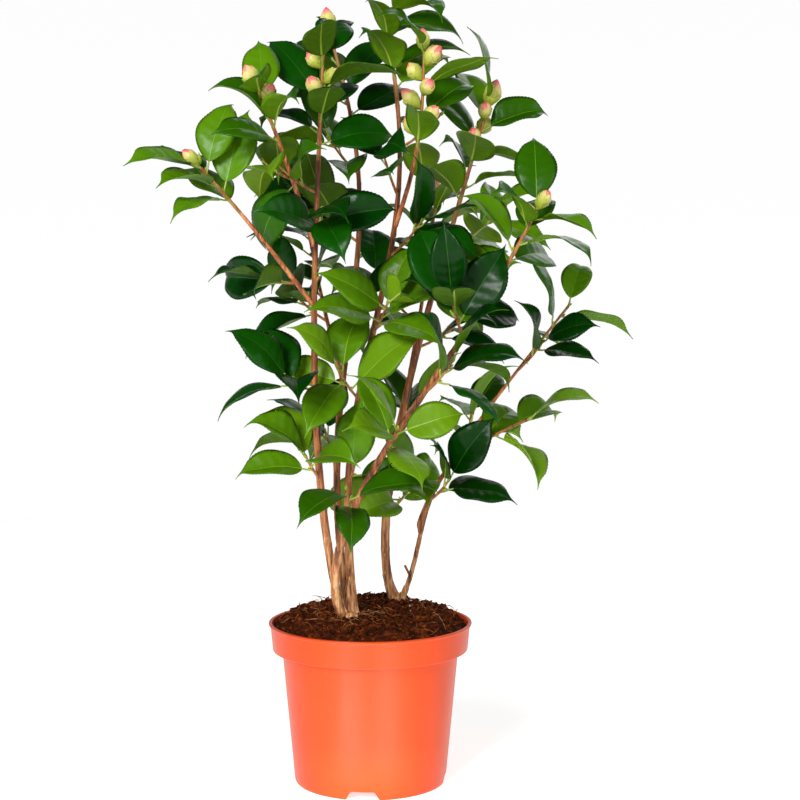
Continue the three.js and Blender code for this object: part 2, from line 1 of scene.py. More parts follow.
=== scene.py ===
"""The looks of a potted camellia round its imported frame: metres, +Z up, -Y the front.

The shrub grows here by the rule that shapes its solids. Limbs, sprays, buds and leaves draw the
same numbers in the same order, so every leaf stands where its solid one stands. The growth is
worked out in millimetres and turned to metres when a mesh is made.
"""

from math import ceil, cos, dist, exp, hypot, log, pi, radians, sin, sqrt
from types import SimpleNamespace

import bmesh
import bpy
import numpy as np
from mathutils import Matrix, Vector, noise


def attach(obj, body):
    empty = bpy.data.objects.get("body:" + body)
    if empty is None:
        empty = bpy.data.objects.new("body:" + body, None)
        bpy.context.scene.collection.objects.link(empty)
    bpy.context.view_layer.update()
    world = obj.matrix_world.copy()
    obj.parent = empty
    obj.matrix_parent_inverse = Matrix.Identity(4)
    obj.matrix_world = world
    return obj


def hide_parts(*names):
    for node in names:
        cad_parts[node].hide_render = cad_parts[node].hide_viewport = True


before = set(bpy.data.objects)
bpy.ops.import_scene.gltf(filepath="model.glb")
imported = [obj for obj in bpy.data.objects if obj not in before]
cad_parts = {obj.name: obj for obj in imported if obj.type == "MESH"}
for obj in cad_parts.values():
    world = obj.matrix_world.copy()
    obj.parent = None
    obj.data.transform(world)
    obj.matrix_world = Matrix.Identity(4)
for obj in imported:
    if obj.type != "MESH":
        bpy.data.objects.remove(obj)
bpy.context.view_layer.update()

MM = 0.001
SEAT = 0.3
GROUND = 161
UP = np.array([0.0, 0.0, 1.0])

# The pot and the soil, in the sizes of their solids. recess is how deep the pot's underside is
# hollow, which its solid isn't.
POT = SimpleNamespace(
    height=151, lip_radius=95.5, band_top=93.8, band_foot=91.8, band_depth=26, lip_depth=3,
    body_top=83, foot_radius=71.5, foot_ring=5, wall=2, floor_height=9.5, recess=8.4,
    lip_thickness=3.2,
)
NOTCH = SimpleNamespace(count=4, first_angle=-94.8, top_width=22, foot_width=31, height=8.3)
SOIL = SimpleNamespace(level=GROUND, level_radius=62, edge_height=146, sunk=1.2)
# The low heap at the back of the soil, and the soil's hollows and crumbs as (height, width, seed).
HEAP = SimpleNamespace(height=4.5, x=8, y=62, wide=42, deep=26)
HOLLOWS = [(2.4, 21, 1), (2.1, 9, 5), (1.1, 3.6, 9)]
# The root ends. Pairs are the least and the most.
ROOTS = SimpleNamespace(count=17, steps=18, margin=26, length=(10, 34), arch=(0.5, 4),
                        turn=(-0.24, 0.24), girth=(0.14, 0.32))

# The limbs: foot or bearer, tip, bow and sway, girth at foot and tip, the share at which the bark
# ends, the leaves and flower buds of the leading spray, and side sprays as (place along the limb,
# compass angle, rise, twig length, leaves).
LIMBS = [
    dict(name="stem_outer_left", foot=(-24, -22, GROUND), tip=(-41, -40, 672), bow=(-19, 0, 0),
         bow_at=0.38, girth=(8.4, 3.4), ends=0.82, leader=9, buds=4,
         sprays=[(0.25, 235, 40, 18, 4), (0.41, 200, 10, 20, 4), (0.68, 285, 35, 26, 5),
                 (0.76, 195, 25, 34, 5)]),
    dict(name="stem_back_left", foot=(-21, -10, GROUND), tip=(-38, 44, 702), bow=(14, 6, 0),
         bow_at=0.7, sway=(-9, 0, 0), girth=(8, 3.2), ends=0.84, leader=9, buds=2,
         sprays=[(0.26, 110, 25, 34, 5), (0.52, 60, 25, 44, 6), (0.64, 150, 30, 44, 6),
                 (0.76, 215, 35, 34, 5)]),
    dict(name="stem_leaning_right", foot=(-19, -30, GROUND), tip=(149, -72, 532),
         bow=(-36, -6, 0), bow_at=0.31, sway=(-6, 0, 0), girth=(8.8, 3), ends=0.86, leader=7,
         buds=2, sprays=[(0.27, 260, 35, 24, 4), (0.42, 290, 25, 30, 5), (0.56, 320, 35, 30, 5),
                         (0.7, 250, 40, 36, 5)]),
    dict(name="stem_tallest", foot=(-15, -17, GROUND), tip=(14, 18, 716), bow=(7, 4, 0),
         sway=(-16, 0, 0), girth=(8.4, 3.2), ends=0.86, leader=8,
         sprays=[(0.22, 285, 30, 26, 5), (0.36, 240, 30, 36, 5), (0.47, 290, 25, 40, 6),
                 (0.6, 320, 30, 38, 6), (0.7, 250, 35, 44, 6), (0.78, 10, 30, 40, 6)]),
    dict(name="stem_right", foot=(27, 50, GROUND), tip=(111, 44, 634), bow=(-30, 0, 0),
         bow_at=0.31, girth=(9.4, 3.6), ends=0.76, leader=10, buds=5,
         sprays=[(0.18, 310, 30, 28, 5), (0.34, 60, 25, 40, 6), (0.52, 20, 20, 40, 6),
                 (0.62, 290, 30, 44, 6), (0.71, 345, 25, 44, 5)]),
    dict(name="stem_low_right", foot=(28, 46, GROUND), tip=(146, -14, 342), bow=(-33, 10, 12),
         bow_at=0.62, girth=(5.2, 2.6), ends=0.8, leader=4,
         sprays=[(0.5, 320, 35, 18, 4)]),
    dict(name="bough_far_right", on="stem_low_right", at=0.33, tip=(194, 92, 446),
         bow=(-12, 0, 0), bow_at=0.35, girth=(4, 2.4), ends=0.84, leader=4,
         sprays=[(0.4, 80, 30, 30, 5), (0.7, 0, 45, 18, 3)]),
    dict(name="bough_far_left", on="stem_outer_left", at=0.56, tip=(-148, -72, 570),
         bow=(0, 0, 3), girth=(4.4, 2.6), ends=0.64, leader=7, buds=1,
         sprays=[(0.12, 200, 0, 14, 3)]),
    dict(name="bough_upper_left", on="stem_outer_left", at=0.66, tip=(-96, -80, 636),
         bow=(0, 0, 6), girth=(4.6, 2.8), ends=0.56, leader=9, buds=2,
         sprays=[(0.36, 200, 20, 22, 4)]),
    dict(name="bough_of_buds", on="stem_tallest", at=0.64, tip=(50, -18, 678), bow=(6, 0, -6),
         girth=(4.4, 3), ends=0.36, leader=7, buds=7, sprays=[]),
    dict(name="bough_back", on="stem_back_left", at=0.4, tip=(-66, 128, 530),
         bow=(0, 10, -10), girth=(4.8, 2.6), ends=0.6, leader=8, buds=1,
         sprays=[(0.4, 200, 30, 34, 5)]),
    dict(name="bough_back_right", on="stem_right", at=0.42, tip=(64, 150, 548),
         bow=(0, 10, -10), girth=(4.8, 2.6), ends=0.6, leader=8, buds=1,
         sprays=[(0.4, 150, 30, 34, 5)]),
]
# The clumps' feet. Their flare, and the left one's heart, are slimmer than in the solids.
STOOLS = [
    dict(name="stool_left", height=40, heart=(-19.5, -20), heart_radius=7, heart_height=36,
         stems=["stem_outer_left", "stem_back_left", "stem_leaning_right", "stem_tallest"],
         flare=1.2),
    dict(name="stool_right", height=15, heart=(29, 48), heart_radius=6.5, heart_height=9,
         stems=["stem_right", "stem_low_right"], flare=1.8),
]
FLARE_HEIGHT = 9

LEAF = SimpleNamespace(
    shortest=62, longest=84, narrowest=0.54, widest=0.64, shortest_stalk=7, longest_stalk=11,
    splay=60, last_splay=26, least_bend=25, most_bend=80, twist=22, roll=36, lowest_rise=-0.3,
    steps=20, splay_loss=14, splay_play=26, turn_play=30, shrink=0.12,
)
# The angle from one leaf to the next round a twig.
DIVERGENCE = 137.5
LIGHT = np.array([0.05, -0.6, 0.75]) / sqrt(0.05**2 + 0.6**2 + 0.75**2)
LIGHT_PULL = 0.62
# The room that a leaf keeps from other leaves, limbs, twigs and buds.
LEAF_ROOM, WOOD_ROOM, TWIG_ROOM, BUD_ROOM = 8.6, 4.6, 3.6, 3
# How a leaf looks for room: a turn round the twig and a change of splay, one pair after another.
TRIES = [(0, 0), (30, 6), (-30, -8), (60, -14), (-60, 10), (95, -20), (-95, 0), (140, -24),
         (-140, 10), (15, 22), (-15, -30), (180, -12), (20, 45), (-160, 58)]
CROWN_TOP = 734
SAMPLES = SimpleNamespace(along=10, across=7, start=0.16, end=0.97, wood_step=5, limb_parts=5)
SEED = 2095
TWIG = SimpleNamespace(foot_radius=1.9, tip_radius=1.5, curl=0.22, side_scale=0.74, taper=0.86,
                       knob=0.16, knob_width=1.8)
BUD = SimpleNamespace(length=20, radius=7.4, first_spread=8, spread=44, spread_play=12,
                      turn_play=60, spacing=12.5, smallest=0.78, largest=1.08)


def mix(a, b, share):
    return a + (b - a) * share


def unit(v):
    return v / sqrt(v @ v)


def stream(seed):
    """A repeatable stream of numbers from 0 to 1."""
    state = seed

    def draw():
        nonlocal state
        state = (state * 1664525 + 1013904223) & 0xFFFFFFFF
        return state / 2**32

    return draw


def across(direction):
    """Two unit vectors square to a direction and to each other."""
    helper = np.array([1.0, 0, 0]) if abs(direction[0]) < 0.8 else np.array([0, 1.0, 0])
    first = unit(helper - direction * (helper @ direction))
    return first, np.cross(direction, first)


def limb_point(limb, s):
    if s < 0:
        return limb_point(limb, 0) + limb_direction(limb, 0) * (s * limb.length)
    hump = sin(pi * s ** (log(0.5) / log(limb.bow_at)))
    straight = limb.start + (limb.end - limb.start) * s
    return straight + limb.bow * hump + limb.sway * sin(2 * pi * s)


def limb_direction(limb, s):
    low, high = max(0, s - 0.01), min(1, s + 0.01)
    return unit(limb_point(limb, high) - limb_point(limb, low))


def limb_radius(limb, s):
    return mix(*limb.girth, s) / 2


def stand_off(limb, s, direction, radius):
    """How far from a limb's centre line a side limb comes clear of the bark."""
    along = direction @ limb_direction(limb, s)
    return (limb_radius(limb, s) + SEAT + radius * abs(along)) / sqrt(1 - along * along)


def bearing(angle, rise):
    a, r = radians(angle), radians(rise)
    return np.array([cos(a) * cos(r), sin(a) * cos(r), sin(r)])


def set_out():
    """Sets each limb out, a bough on the bark of the limb that bears it."""
    limbs = {}
    for row in LIMBS:
        limb = SimpleNamespace(**{"on": None, "bow_at": 0.5, "sway": (0, 0, 0), "buds": 0, **row})
        limb.bow, limb.sway = np.array(limb.bow, float), np.array(limb.sway, float)
        limb.end = np.array(limb.tip, float)
        bearer = limbs.get(limb.on)
        limb.start = limb_point(bearer, limb.at) if bearer else np.array(limb.foot, float)
        limb.root = 0
        if bearer:
            away = limb_direction(limb, 0)
            limb.root = stand_off(bearer, limb.at, away, limb.girth[0] / 2)
            limb.start = limb.start + away * limb.root
        limb.length = dist(limb.start, limb.end)
        limbs[limb.name] = limb
    return limbs


def list_sprays(limbs):
    """Every limb's leading spray, then the side sprays, in the order in which they grow."""
    leaders, sides = [], []
    for limb in limbs.values():
        short = limb.name.removeprefix("stem_").removeprefix("bough_")
        first = limb.ends + SEAT / limb.length
        leaders.append(SimpleNamespace(
            name=f"spray_{short}_tip",
            path=lambda q, limb=limb, first=first: limb_point(limb, mix(first, 1, q)),
            radius=lambda q, limb=limb: mix(limb_radius(limb, limb.ends), TWIG.tip_radius, q),
            leaves=limb.leader, buds=limb.buds, first_leaf=0.14, leads=True,
        ))
        for i, (at, angle, rise, twig, leaves) in enumerate(limb.sprays):
            out = bearing(angle, rise)
            off = stand_off(limb, at, out, TWIG.foot_radius)
            start = limb_point(limb, at) + out * off
            sides.append(SimpleNamespace(
                name=f"spray_{short}_{i + 1}",
                path=lambda q, start=start, out=out, twig=twig: (
                    start + out * (twig * q) + UP * (twig * TWIG.curl * q * q)),
                radius=lambda q: mix(TWIG.foot_radius, TWIG.tip_radius, q),
                leaves=leaves, buds=0, first_leaf=0.34, leads=False, root=off / twig,
            ))
    return leaders + sides


def spray_direction(spray, q):
    low, high = max(0, q - 0.05), min(1, q + 0.05)
    return unit(spray.path(high) - spray.path(low))


def blade_shape(u):
    """Half the blade's width, as a share of half its widest, by the share u of its length."""
    return np.sin(np.pi * u**0.8) ** 0.85 * (1 - 0.5 * u**5)


def blade_frames(leaf, shares):
    """The blade's middle line, side and upper vectors and half width at each share."""
    u = np.asarray(shares, float)[:, None]
    middles = (np.arange(LEAF.steps) + 0.5) / LEAF.steps
    bends = leaf.bend * (middles * u) ** 1.5
    stride = u * leaf.length / LEAF.steps
    ahead = (stride * np.cos(bends)).sum(1, keepdims=True)
    down = (stride * np.sin(bends)).sum(1, keepdims=True)
    point = leaf.base + ahead * leaf.axis - down * leaf.normal
    bend, turn = leaf.bend * u**1.5, leaf.twist * u
    side = np.cross(leaf.axis, leaf.normal)
    upper = leaf.normal * np.cos(bend) + leaf.axis * np.sin(bend)
    turned = side * np.cos(turn) + upper * np.sin(turn)
    over = upper * np.cos(turn) - side * np.sin(turn)
    return point, turned, over, leaf.width / 2 * blade_shape(u)


def claim(points, rooms):
    """A thing that holds its room: points, each with the room round it, inside one sphere."""
    centre = points.mean(0)
    reach = (np.linalg.norm(points - centre, axis=1) + rooms).max()
    return SimpleNamespace(points=points, rooms=rooms, centre=centre, reach=reach)


def is_clear(own, other):
    if dist(own.centre, other.centre) > own.reach + other.reach:
        return True
    gaps = ((own.points[:, None] - other.points[None]) ** 2).sum(2)
    return not (gaps < other.rooms**2).any()


def turned_about(v, axis, angle):
    return (v * cos(angle) + np.cross(axis, v) * sin(angle)
            + axis * (axis @ v) * (1 - cos(angle)))


def tilted(along, around, lean):
    """The unit vector that leans from along, towards the side at the angle around it."""
    first, second = across(along)
    return (along * cos(lean) + first * (cos(around) * sin(lean))
            + second * (sin(around) * sin(lean)))


def place_leaf(spray, index, draw, taken):
    """Places one leaf. It draws the same count of numbers whether it finds room or not."""
    q = mix(spray.first_leaf, 1, index / (spray.leaves - 1))
    along, start = spray_direction(spray, q), spray.path(q)
    jitter = draw() - 0.5
    last = index == spray.leaves - 1
    splay = LEAF.last_splay if last else LEAF.splay - LEAF.splay_loss * q
    splay = radians(splay + LEAF.splay_play * (draw() - 0.5))
    length = mix(LEAF.shortest, LEAF.longest, draw()) * (1 - LEAF.shrink * q)
    width = length * mix(LEAF.narrowest, LEAF.widest, draw())
    bend = radians(mix(LEAF.least_bend, LEAF.most_bend, draw()))
    twist = radians(LEAF.twist * 2 * (draw() - 0.5))
    roll = radians(LEAF.roll * 2 * (draw() - 0.5))
    stalk = mix(LEAF.shortest_stalk, LEAF.longest_stalk, draw())
    shares = mix(SAMPLES.start, SAMPLES.end, np.arange(SAMPLES.along) / (SAMPLES.along - 1))
    spread = 2 * np.arange(SAMPLES.across) / (SAMPLES.across - 1) - 1
    for turn, change in TRIES:
        around = radians(spray.turn + DIVERGENCE * index + LEAF.turn_play * jitter + turn)
        axis = tilted(along, around, splay + radians(change))
        axis[2] = max(axis[2], LEAF.lowest_rise)
        axis = unit(axis)
        normal = along * (1 - LIGHT_PULL) + LIGHT * LIGHT_PULL
        normal = turned_about(unit(normal - axis * (normal @ axis)), axis, roll)
        leaf = SimpleNamespace(
            root=start, base=start + axis * (spray.radius(q) + stalk), axis=axis, normal=normal,
            length=length, width=width, bend=bend, twist=twist, q=q,
        )
        point, side, _, half = blade_frames(leaf, shares)
        samples = (point[:, None] + side[:, None] * (half * spread)[..., None]).reshape(-1, 3)
        own = claim(samples, np.full(len(samples), LEAF_ROOM))
        if (samples[:, 2] < CROWN_TOP).all() and all(is_clear(own, other) for other in taken):
            taken.append(own)
            return leaf
    return None


def place_buds(spray, draw):
    buds = []
    for i in range(spray.buds):
        q = max(0, 1 - BUD.spacing * i / spray.length)
        around = radians(spray.turn + 180 * i + BUD.turn_play * (draw() - 0.5))
        spread = BUD.first_spread if i == 0 else BUD.spread + BUD.spread_play * (draw() - 0.5)
        size = mix(BUD.smallest, BUD.largest, draw())
        axis = tilted(spray_direction(spray, q), around, radians(spread))
        buds.append(SimpleNamespace(root=spray.path(q), axis=axis, length=BUD.length * size,
                                    radius=BUD.radius * size))
    return buds


def wood_claim(length, path, radius, room):
    steps = max(2, ceil(length / SAMPLES.wood_step))
    shares = [i / steps for i in range(steps + 1)]
    return claim(np.array([path(s) for s in shares]), np.array([radius(s) + room for s in shares]))


def grow(limbs):
    """Grows every spray: twigs and buds first, so that each leaf keeps clear of them all."""
    taken = []
    for limb in limbs.values():
        for part in range(SAMPLES.limb_parts):
            def share(q, limb=limb, part=part):
                return limb.ends * (part + q) / SAMPLES.limb_parts
            taken.append(wood_claim(
                limb.length * limb.ends / SAMPLES.limb_parts,
                lambda q: limb_point(limb, share(q)),
                lambda q: limb_radius(limb, share(q)), WOOD_ROOM))
    sprays = list_sprays(limbs)
    for i, spray in enumerate(sprays):
        spray.draw = stream(SEED + 97 * i)
        spray.turn = 360 * spray.draw()
        spray.length = dist(spray.path(0), spray.path(1))
        spray.bud_list = place_buds(spray, spray.draw)
        taken.append(wood_claim(spray.length, spray.path, spray.radius, TWIG_ROOM))
        for bud in spray.bud_list:
            points = np.array([bud.root + bud.axis * (share * bud.length) for share in (0.4, 0.85)])
            taken.append(claim(points, np.full(2, bud.radius + BUD_ROOM)))
    for spray in sprays:
        found = [place_leaf(spray, i, spray.draw, taken) for i in range(spray.leaves)]
        spray.leaf_list = [leaf for leaf in found if leaf]
    return sprays


limbs = set_out()
sprays = grow(limbs)


# Materials. Each is what the real surface is, in the colours that daylight shows on it.


def linear(hex_colour):
    """An sRGB hex colour as Blender's linear one."""
    value = [int(hex_colour[i:i + 2], 16) / 255 for i in (1, 3, 5)]
    return [v / 12.92 if v <= 0.04045 else ((v + 0.055) / 1.055) ** 2.4 for v in value] + [1]


def plug(tree, node, links):
    """Gives a node its inputs: values, outputs, or nodes that stand for their first output."""
    for name, value in links.items():
        if isinstance(value, bpy.types.Node):
            value = value.outputs[0]
        if isinstance(value, bpy.types.NodeSocket):
            tree.links.new(value, node.inputs[name])
        else:
            node.inputs[name].default_value = value


def add(tree, kind, links=None, stops=(), **settings):
    """Adds a node with its settings and inputs. stops are a ramp's (place, hex colour) pairs."""
    node = tree.nodes.new(kind)
    for name, value in settings.items():
        setattr(node, name, value)
    plug(tree, node, links or {})
    if stops:
        elements = node.color_ramp.elements
        while len(elements) < len(stops):
            elements.new(0.5)
        for element, (place, colour) in zip(elements, stops):
            element.position, element.color = place, linear(colour)
    return node


def material(name, colour, **shader):
    """A material with a plain colour. shader sets the Principled sockets by name."""
    made = bpy.data.materials.new(name)
    made.use_nodes = True
    surface = made.node_tree.nodes["Principled BSDF"]
    surface.inputs["Base Color"].default_value = linear(colour)
    for key, value in shader.items():
        socket = key.replace("_", " ").title().replace("Ior", "IOR")
        surface.inputs[socket].default_value = value
    made.diffuse_color = linear(colour)
    return made, made.node_tree, surface


def object_noise(tree, millimetres, stretch=(1, 1, 1), detail=3, roughness=0.55, kind="noise"):
    """A pattern on Object coordinates whose features are about so many millimetres wide."""
    place = add(tree, "ShaderNodeTexCoord").outputs["Object"]
    scaled = add(tree, "ShaderNodeMapping", {"Vector": place, "Scale": stretch})
    links = {"Vector": scaled, "Scale": 1 / (millimetres * MM)}
    if kind == "cells":
        return add(tree, "ShaderNodeTexVoronoi", links)
    return add(tree, "ShaderNodeTexNoise", links | {"Detail": detail, "Roughness": roughness})


def relief(tree, *layers):
    """The normal of a surface raised by layers of (height, millimetres), each over the last."""
    links = {"Strength": 1.0}
    for height, depth in layers:
        links |= {"Height": height, "Distance": depth * MM}
        links["Normal"] = add(tree, "ShaderNodeBump", links)
    return links["Normal"]


def moulded_plastic():
    """Moulded polypropylene: satin, its colour even, with a faint orange-peel and dull patches."""
    made, tree, surface = material("moulded_polypropylene", "#c13f0c", roughness=0.36, ior=1.49,
                                   specular_ior_level=0.27)
    cloud = add(tree, "ShaderNodeValToRGB", {"Fac": object_noise(tree, 60, (1, 1, 0.5))},
                ((0.3, "#bc3b0a"), (0.7, "#c2400d")))
    dull = add(tree, "ShaderNodeMapRange", {"Value": object_noise(tree, 14, (1, 1, 0.35)),
                                            "To Min": 0.28, "To Max": 0.42})
    peel = relief(tree, (object_noise(tree, 1.6), 0.02), (object_noise(tree, 22), 0.12))
    plug(tree, surface, {"Base Color": cloud, "Roughness": dull, "Normal": peel})
    return made


def moist_peat():
    """Moist fibrous peat: near black to rust brown in blotches, with a crumbly relief."""
    made, tree, surface = material("moist_peat", "#451f0d", roughness=0.9, specular_ior_level=0.05)
    grain = object_noise(tree, 9, detail=8, roughness=0.76)
    colours = add(tree, "ShaderNodeValToRGB", {"Fac": grain},
                  ((0.34, "#0c0501"), (0.5, "#3a1708"), (0.62, "#743414"), (0.78, "#a45a2a")))
    crumbs = relief(tree, (object_noise(tree, 2.2, detail=5, roughness=0.7), 1.1))
    plug(tree, surface, {"Base Color": colours, "Normal": crumbs})
    return made


def dry_crumb(name, dark, light):
    """Loose bits on the peat: matt, each a little lighter or darker over its own width."""
    made, tree, surface = material(name, dark, roughness=0.88, specular_ior_level=0.05)
    colours = add(tree, "ShaderNodeValToRGB", {"Fac": object_noise(tree, 3, detail=4)},
                  ((0.35, dark), (0.7, light)))
    lumps = relief(tree, (object_noise(tree, 0.9), 0.25))
    plug(tree, surface, {"Base Color": colours, "Normal": lumps})
    return made


def bark(name, dark, middle, light, roughness, height_tint="#ffffff"):
    """Thin smooth bark: streaks that run up the stem, fine cracks, and pale freckles.

    The last colour tints it more with height, so the bark turns darker and redder higher up.
    """
    made, tree, surface = material(name, middle, roughness=roughness)
    streaks = object_noise(tree, 3.4, (1, 1, 0.1), detail=5, roughness=0.62)
    cracks = object_noise(tree, 1.1, (1, 1, 0.1), detail=5)
    freckles = object_noise(tree, 4.5, (1, 1, 0.5), kind="cells")
    base = add(tree, "ShaderNodeValToRGB", {"Fac": streaks},
               ((0.36, dark), (0.5, middle), (0.64, light)))
    spots = add(tree, "ShaderNodeMapRange", {"Value": freckles, "From Min": 0.1, "From Max": 0.2,
                                             "To Min": 0.55, "To Max": 0.0})
    spotted = add(tree, "ShaderNodeMix", {"Factor": spots, 6: base, 7: linear(light)},
                  data_type="RGBA").outputs[2]
    place = add(tree, "ShaderNodeTexCoord").outputs["Object"]
    height = add(tree, "ShaderNodeSeparateXYZ", {"Vector": place}).outputs["Z"]
    up = add(tree, "ShaderNodeMapRange", {"Value": height, "From Min": TINT_HEIGHTS.start,
                                          "From Max": TINT_HEIGHTS.end})
    tinted = add(tree, "ShaderNodeMix", {"Factor": up, 6: spotted, 7: linear(height_tint)},
                 data_type="RGBA", blend_type="MULTIPLY").outputs[2]
    dull = add(tree, "ShaderNodeMapRange", {"Value": streaks, "To Min": roughness - 0.12,
                                            "To Max": roughness + 0.12})
    rough_skin = relief(tree, (cracks, 0.45), (streaks, 0.9), (freckles, 0.25))
    plug(tree, surface, {"Base Color": tinted, "Roughness": dull, "Normal": rough_skin})
    return made


def leaf_skin(name, colour, roughness, depth, **shader):
    """A leaf's waxy skin in one plain colour, so that the colour stays with its leaf."""
    made, tree, surface = material(name, colour, roughness=roughness, **shader)
    fine, broad = object_noise(tree, 1.3, detail=2), object_noise(tree, 9, detail=1)
    plug(tree, surface, {"Normal": relief(tree, (fine, depth), (broad, 7 * depth))})
    return made


def bud_skin(name, *stops):
    """Waxy bud scales: a thin silky skin whose colour turns from the bud's foot to its tip."""
    made, tree, surface = material(name, stops[0][1], roughness=0.42, specular_ior_level=0.3)
    rise = add(tree, "ShaderNodeAttribute", attribute_name="rise").outputs["Fac"]
    uneven = add(tree, "ShaderNodeMapRange", {"Value": object_noise(tree, 5, detail=2),
                                              "To Min": -0.16, "To Max": 0.16})
    place = add(tree, "ShaderNodeMath", {0: rise, 1: uneven}, operation="ADD")
    plug(tree, surface, {"Base Color": add(tree, "ShaderNodeValToRGB", {"Fac": place}, stops)})
    return made


# A leaf's surfaces, by slot: name, roughness, depth of the fine relief, and specular level.
LEAF_SURFACES = [
    ("top_a", 0.28, 0.05, 0.14), ("underside", 0.5, 0.07, 0.14), ("rib", 0.4, 0.03, 0.3),
    ("rib_below", 0.45, 0.03, 0.2), ("top_b", 0.33, 0.05, 0.14),
]
# The tones of these surfaces in each group of leaves.
LEAF_TONES = {
    "leaves_old": ("#022e00", "#3c5c06", "#24560c", "#7f962c", "#083f00"),
    "leaves_grown": ("#265200", "#527806", "#5c881c", "#9db040", "#4c7804"),
    "leaves_young": ("#4a7406", "#668a0c", "#7ea022", "#b2c24a", "#5a800c"),
}
YOUNG_SPRAYS = """
    upper_left_1 tallest_3 tallest_2 leaning_right_2 outer_left_1 right_1 low_right_tip
    right_5 tallest_6
""".split()
OLD_SPRAYS = """
    outer_left_tip outer_left_2 outer_left_3 tallest_4 tallest_5 back_left_1 back_left_2
    back_left_3 back_left_tip far_left_1 far_right_2 right_3 low_right_1 back_1 back_tip
    back_right_1 leaning_right_4 leaning_right_3
""".split()
# The heights between which old bark turns darker and redder, in metres.
TINT_HEIGHTS = SimpleNamespace(start=0.17, end=0.28)
PLASTIC = moulded_plastic()
PEAT = moist_peat()
CRUMB = dry_crumb("dark_peat_crumb", "#120501", "#5c270c")
RUST = dry_crumb("rust_peat_crumb", "#4e1d05", "#8c4116")
FIBRE = dry_crumb("peat_fibre", "#5c2a10", "#a8683a")
ROOT = dry_crumb("dry_root", "#8a6238", "#c8a678")
PERLITE = dry_crumb("perlite", "#b9a88e", "#eee6da")
OLD_BARK = bark("old_smooth_bark", "#4c2410", "#ad7040", "#e2b47e", 0.66, "#c09e76")
YOUNG_BARK = bark("young_red_bark", "#5c240c", "#ab5a2a", "#d08a54", 0.52)
TWIG_SKIN = bark("new_twig_skin", "#6f3512", "#a3602a", "#9c7a34", 0.5)
STALK = leaf_skin("leaf_stalk", "#8a9c35", 0.4, 0.05)
LEAF_BUD = bud_skin("leaf_bud_scale", (0.1, "#6f8c18"), (0.6, "#93a62c"), (1, "#b9bd58"))
OUTER_SCALE = bud_skin("outer_bud_scale", (0.05, "#7a8a1e"), (0.3, "#a2ac3c"), (0.7, "#c0bf62"))
INNER_SCALE = bud_skin("inner_bud_scale", (0.4, "#aab348"), (0.66, "#cdc372"), (0.95, "#e6a980"))
BUD_PETAL = bud_skin("bud_petal", (0.8, "#f08f80"), (1, "#e2435a"))


# Meshes.


def in_scene(name, data):
    """A new object that shows the data, linked into the scene."""
    made = bpy.data.objects.new(name, data)
    bpy.context.scene.collection.objects.link(made)
    return made


def piece_from(name, vertices, faces, materials, slots=None, smooth=True):
    """A new object from points in millimetres and faces, which may each name a material slot."""
    mesh = bpy.data.meshes.new(name)
    mesh.from_pydata((np.asarray(vertices) * MM).tolist(), [], faces)
    for one in materials:
        mesh.materials.append(one)
    if slots is not None:
        mesh.polygons.foreach_set("material_index", slots)
    mesh.polygons.foreach_set("use_smooth", [smooth] * len(mesh.polygons))
    mesh.update()
    return in_scene(name, mesh)


def finished(source, name):
    """The plain mesh that an object's modifiers make, in an object of its own."""
    graph = bpy.context.evaluated_depsgraph_get()
    mesh = bpy.data.meshes.new_from_object(source.evaluated_get(graph), depsgraph=graph)
    bpy.data.objects.remove(source)
    mesh.name = name
    return in_scene(name, mesh)


def settle(piece, slot, *nodes):
    """Puts a finished piece on the plant's one body and hides the nodes it stands for; slot is not used.
    """
    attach(piece, "root")
    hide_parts(*nodes)


def geometry_tree(name, inputs):
    """A Geometry Nodes tree with named inputs, its input node and its output node."""
    tree = bpy.data.node_groups.new(name, "GeometryNodeTree")
    tree.interface.new_socket("Geometry", in_out="INPUT", socket_type="NodeSocketGeometry")
    for label, kind in inputs.items():
        tree.interface.new_socket(label, in_out="INPUT", socket_type=f"NodeSocket{kind}")
    tree.interface.new_socket("Geometry", in_out="OUTPUT", socket_type="NodeSocketGeometry")
    return tree, add(tree, "NodeGroupInput").outputs, add(tree, "NodeGroupOutput")


def close_tree(tree, geometry, skin, out):
    """Ends a tree, and returns it: instances made real, smooth faces, one material."""
    real = add(tree, "GeometryNodeRealizeInstances", {"Geometry": geometry})
    smooth = add(tree, "GeometryNodeSetShadeSmooth", {"Geometry": real})
    dressed = add(tree, "GeometryNodeSetMaterial", {"Geometry": smooth, "Material": skin})
    plug(tree, out, {"Geometry": dressed})
    return tree


def grown(name, tree, points, edges, attributes, values):
    """What a tree makes of points in millimetres that carry attributes. values are its inputs."""
    mesh = bpy.data.meshes.new(name)
    mesh.from_pydata((np.asarray(points) * MM).tolist(), edges, [])
    for label, numbers in attributes.items():
        numbers = np.asarray(numbers, float)
        kind, field = ("FLOAT", "value") if numbers.ndim == 1 else ("FLOAT_VECTOR", "vector")
        mesh.attributes.new(label, kind, "POINT").data.foreach_set(field, numbers.ravel())
    source = in_scene(name, mesh)
    modifier = source.modifiers.new(tree.name, "NODES")
    modifier.node_group = tree
    for item in tree.interface.items_tree:
        if item.item_type == "SOCKET" and item.in_out == "INPUT" and item.name in values:
            modifier[item.identifier] = values[item.name]
    return finished(source, name)


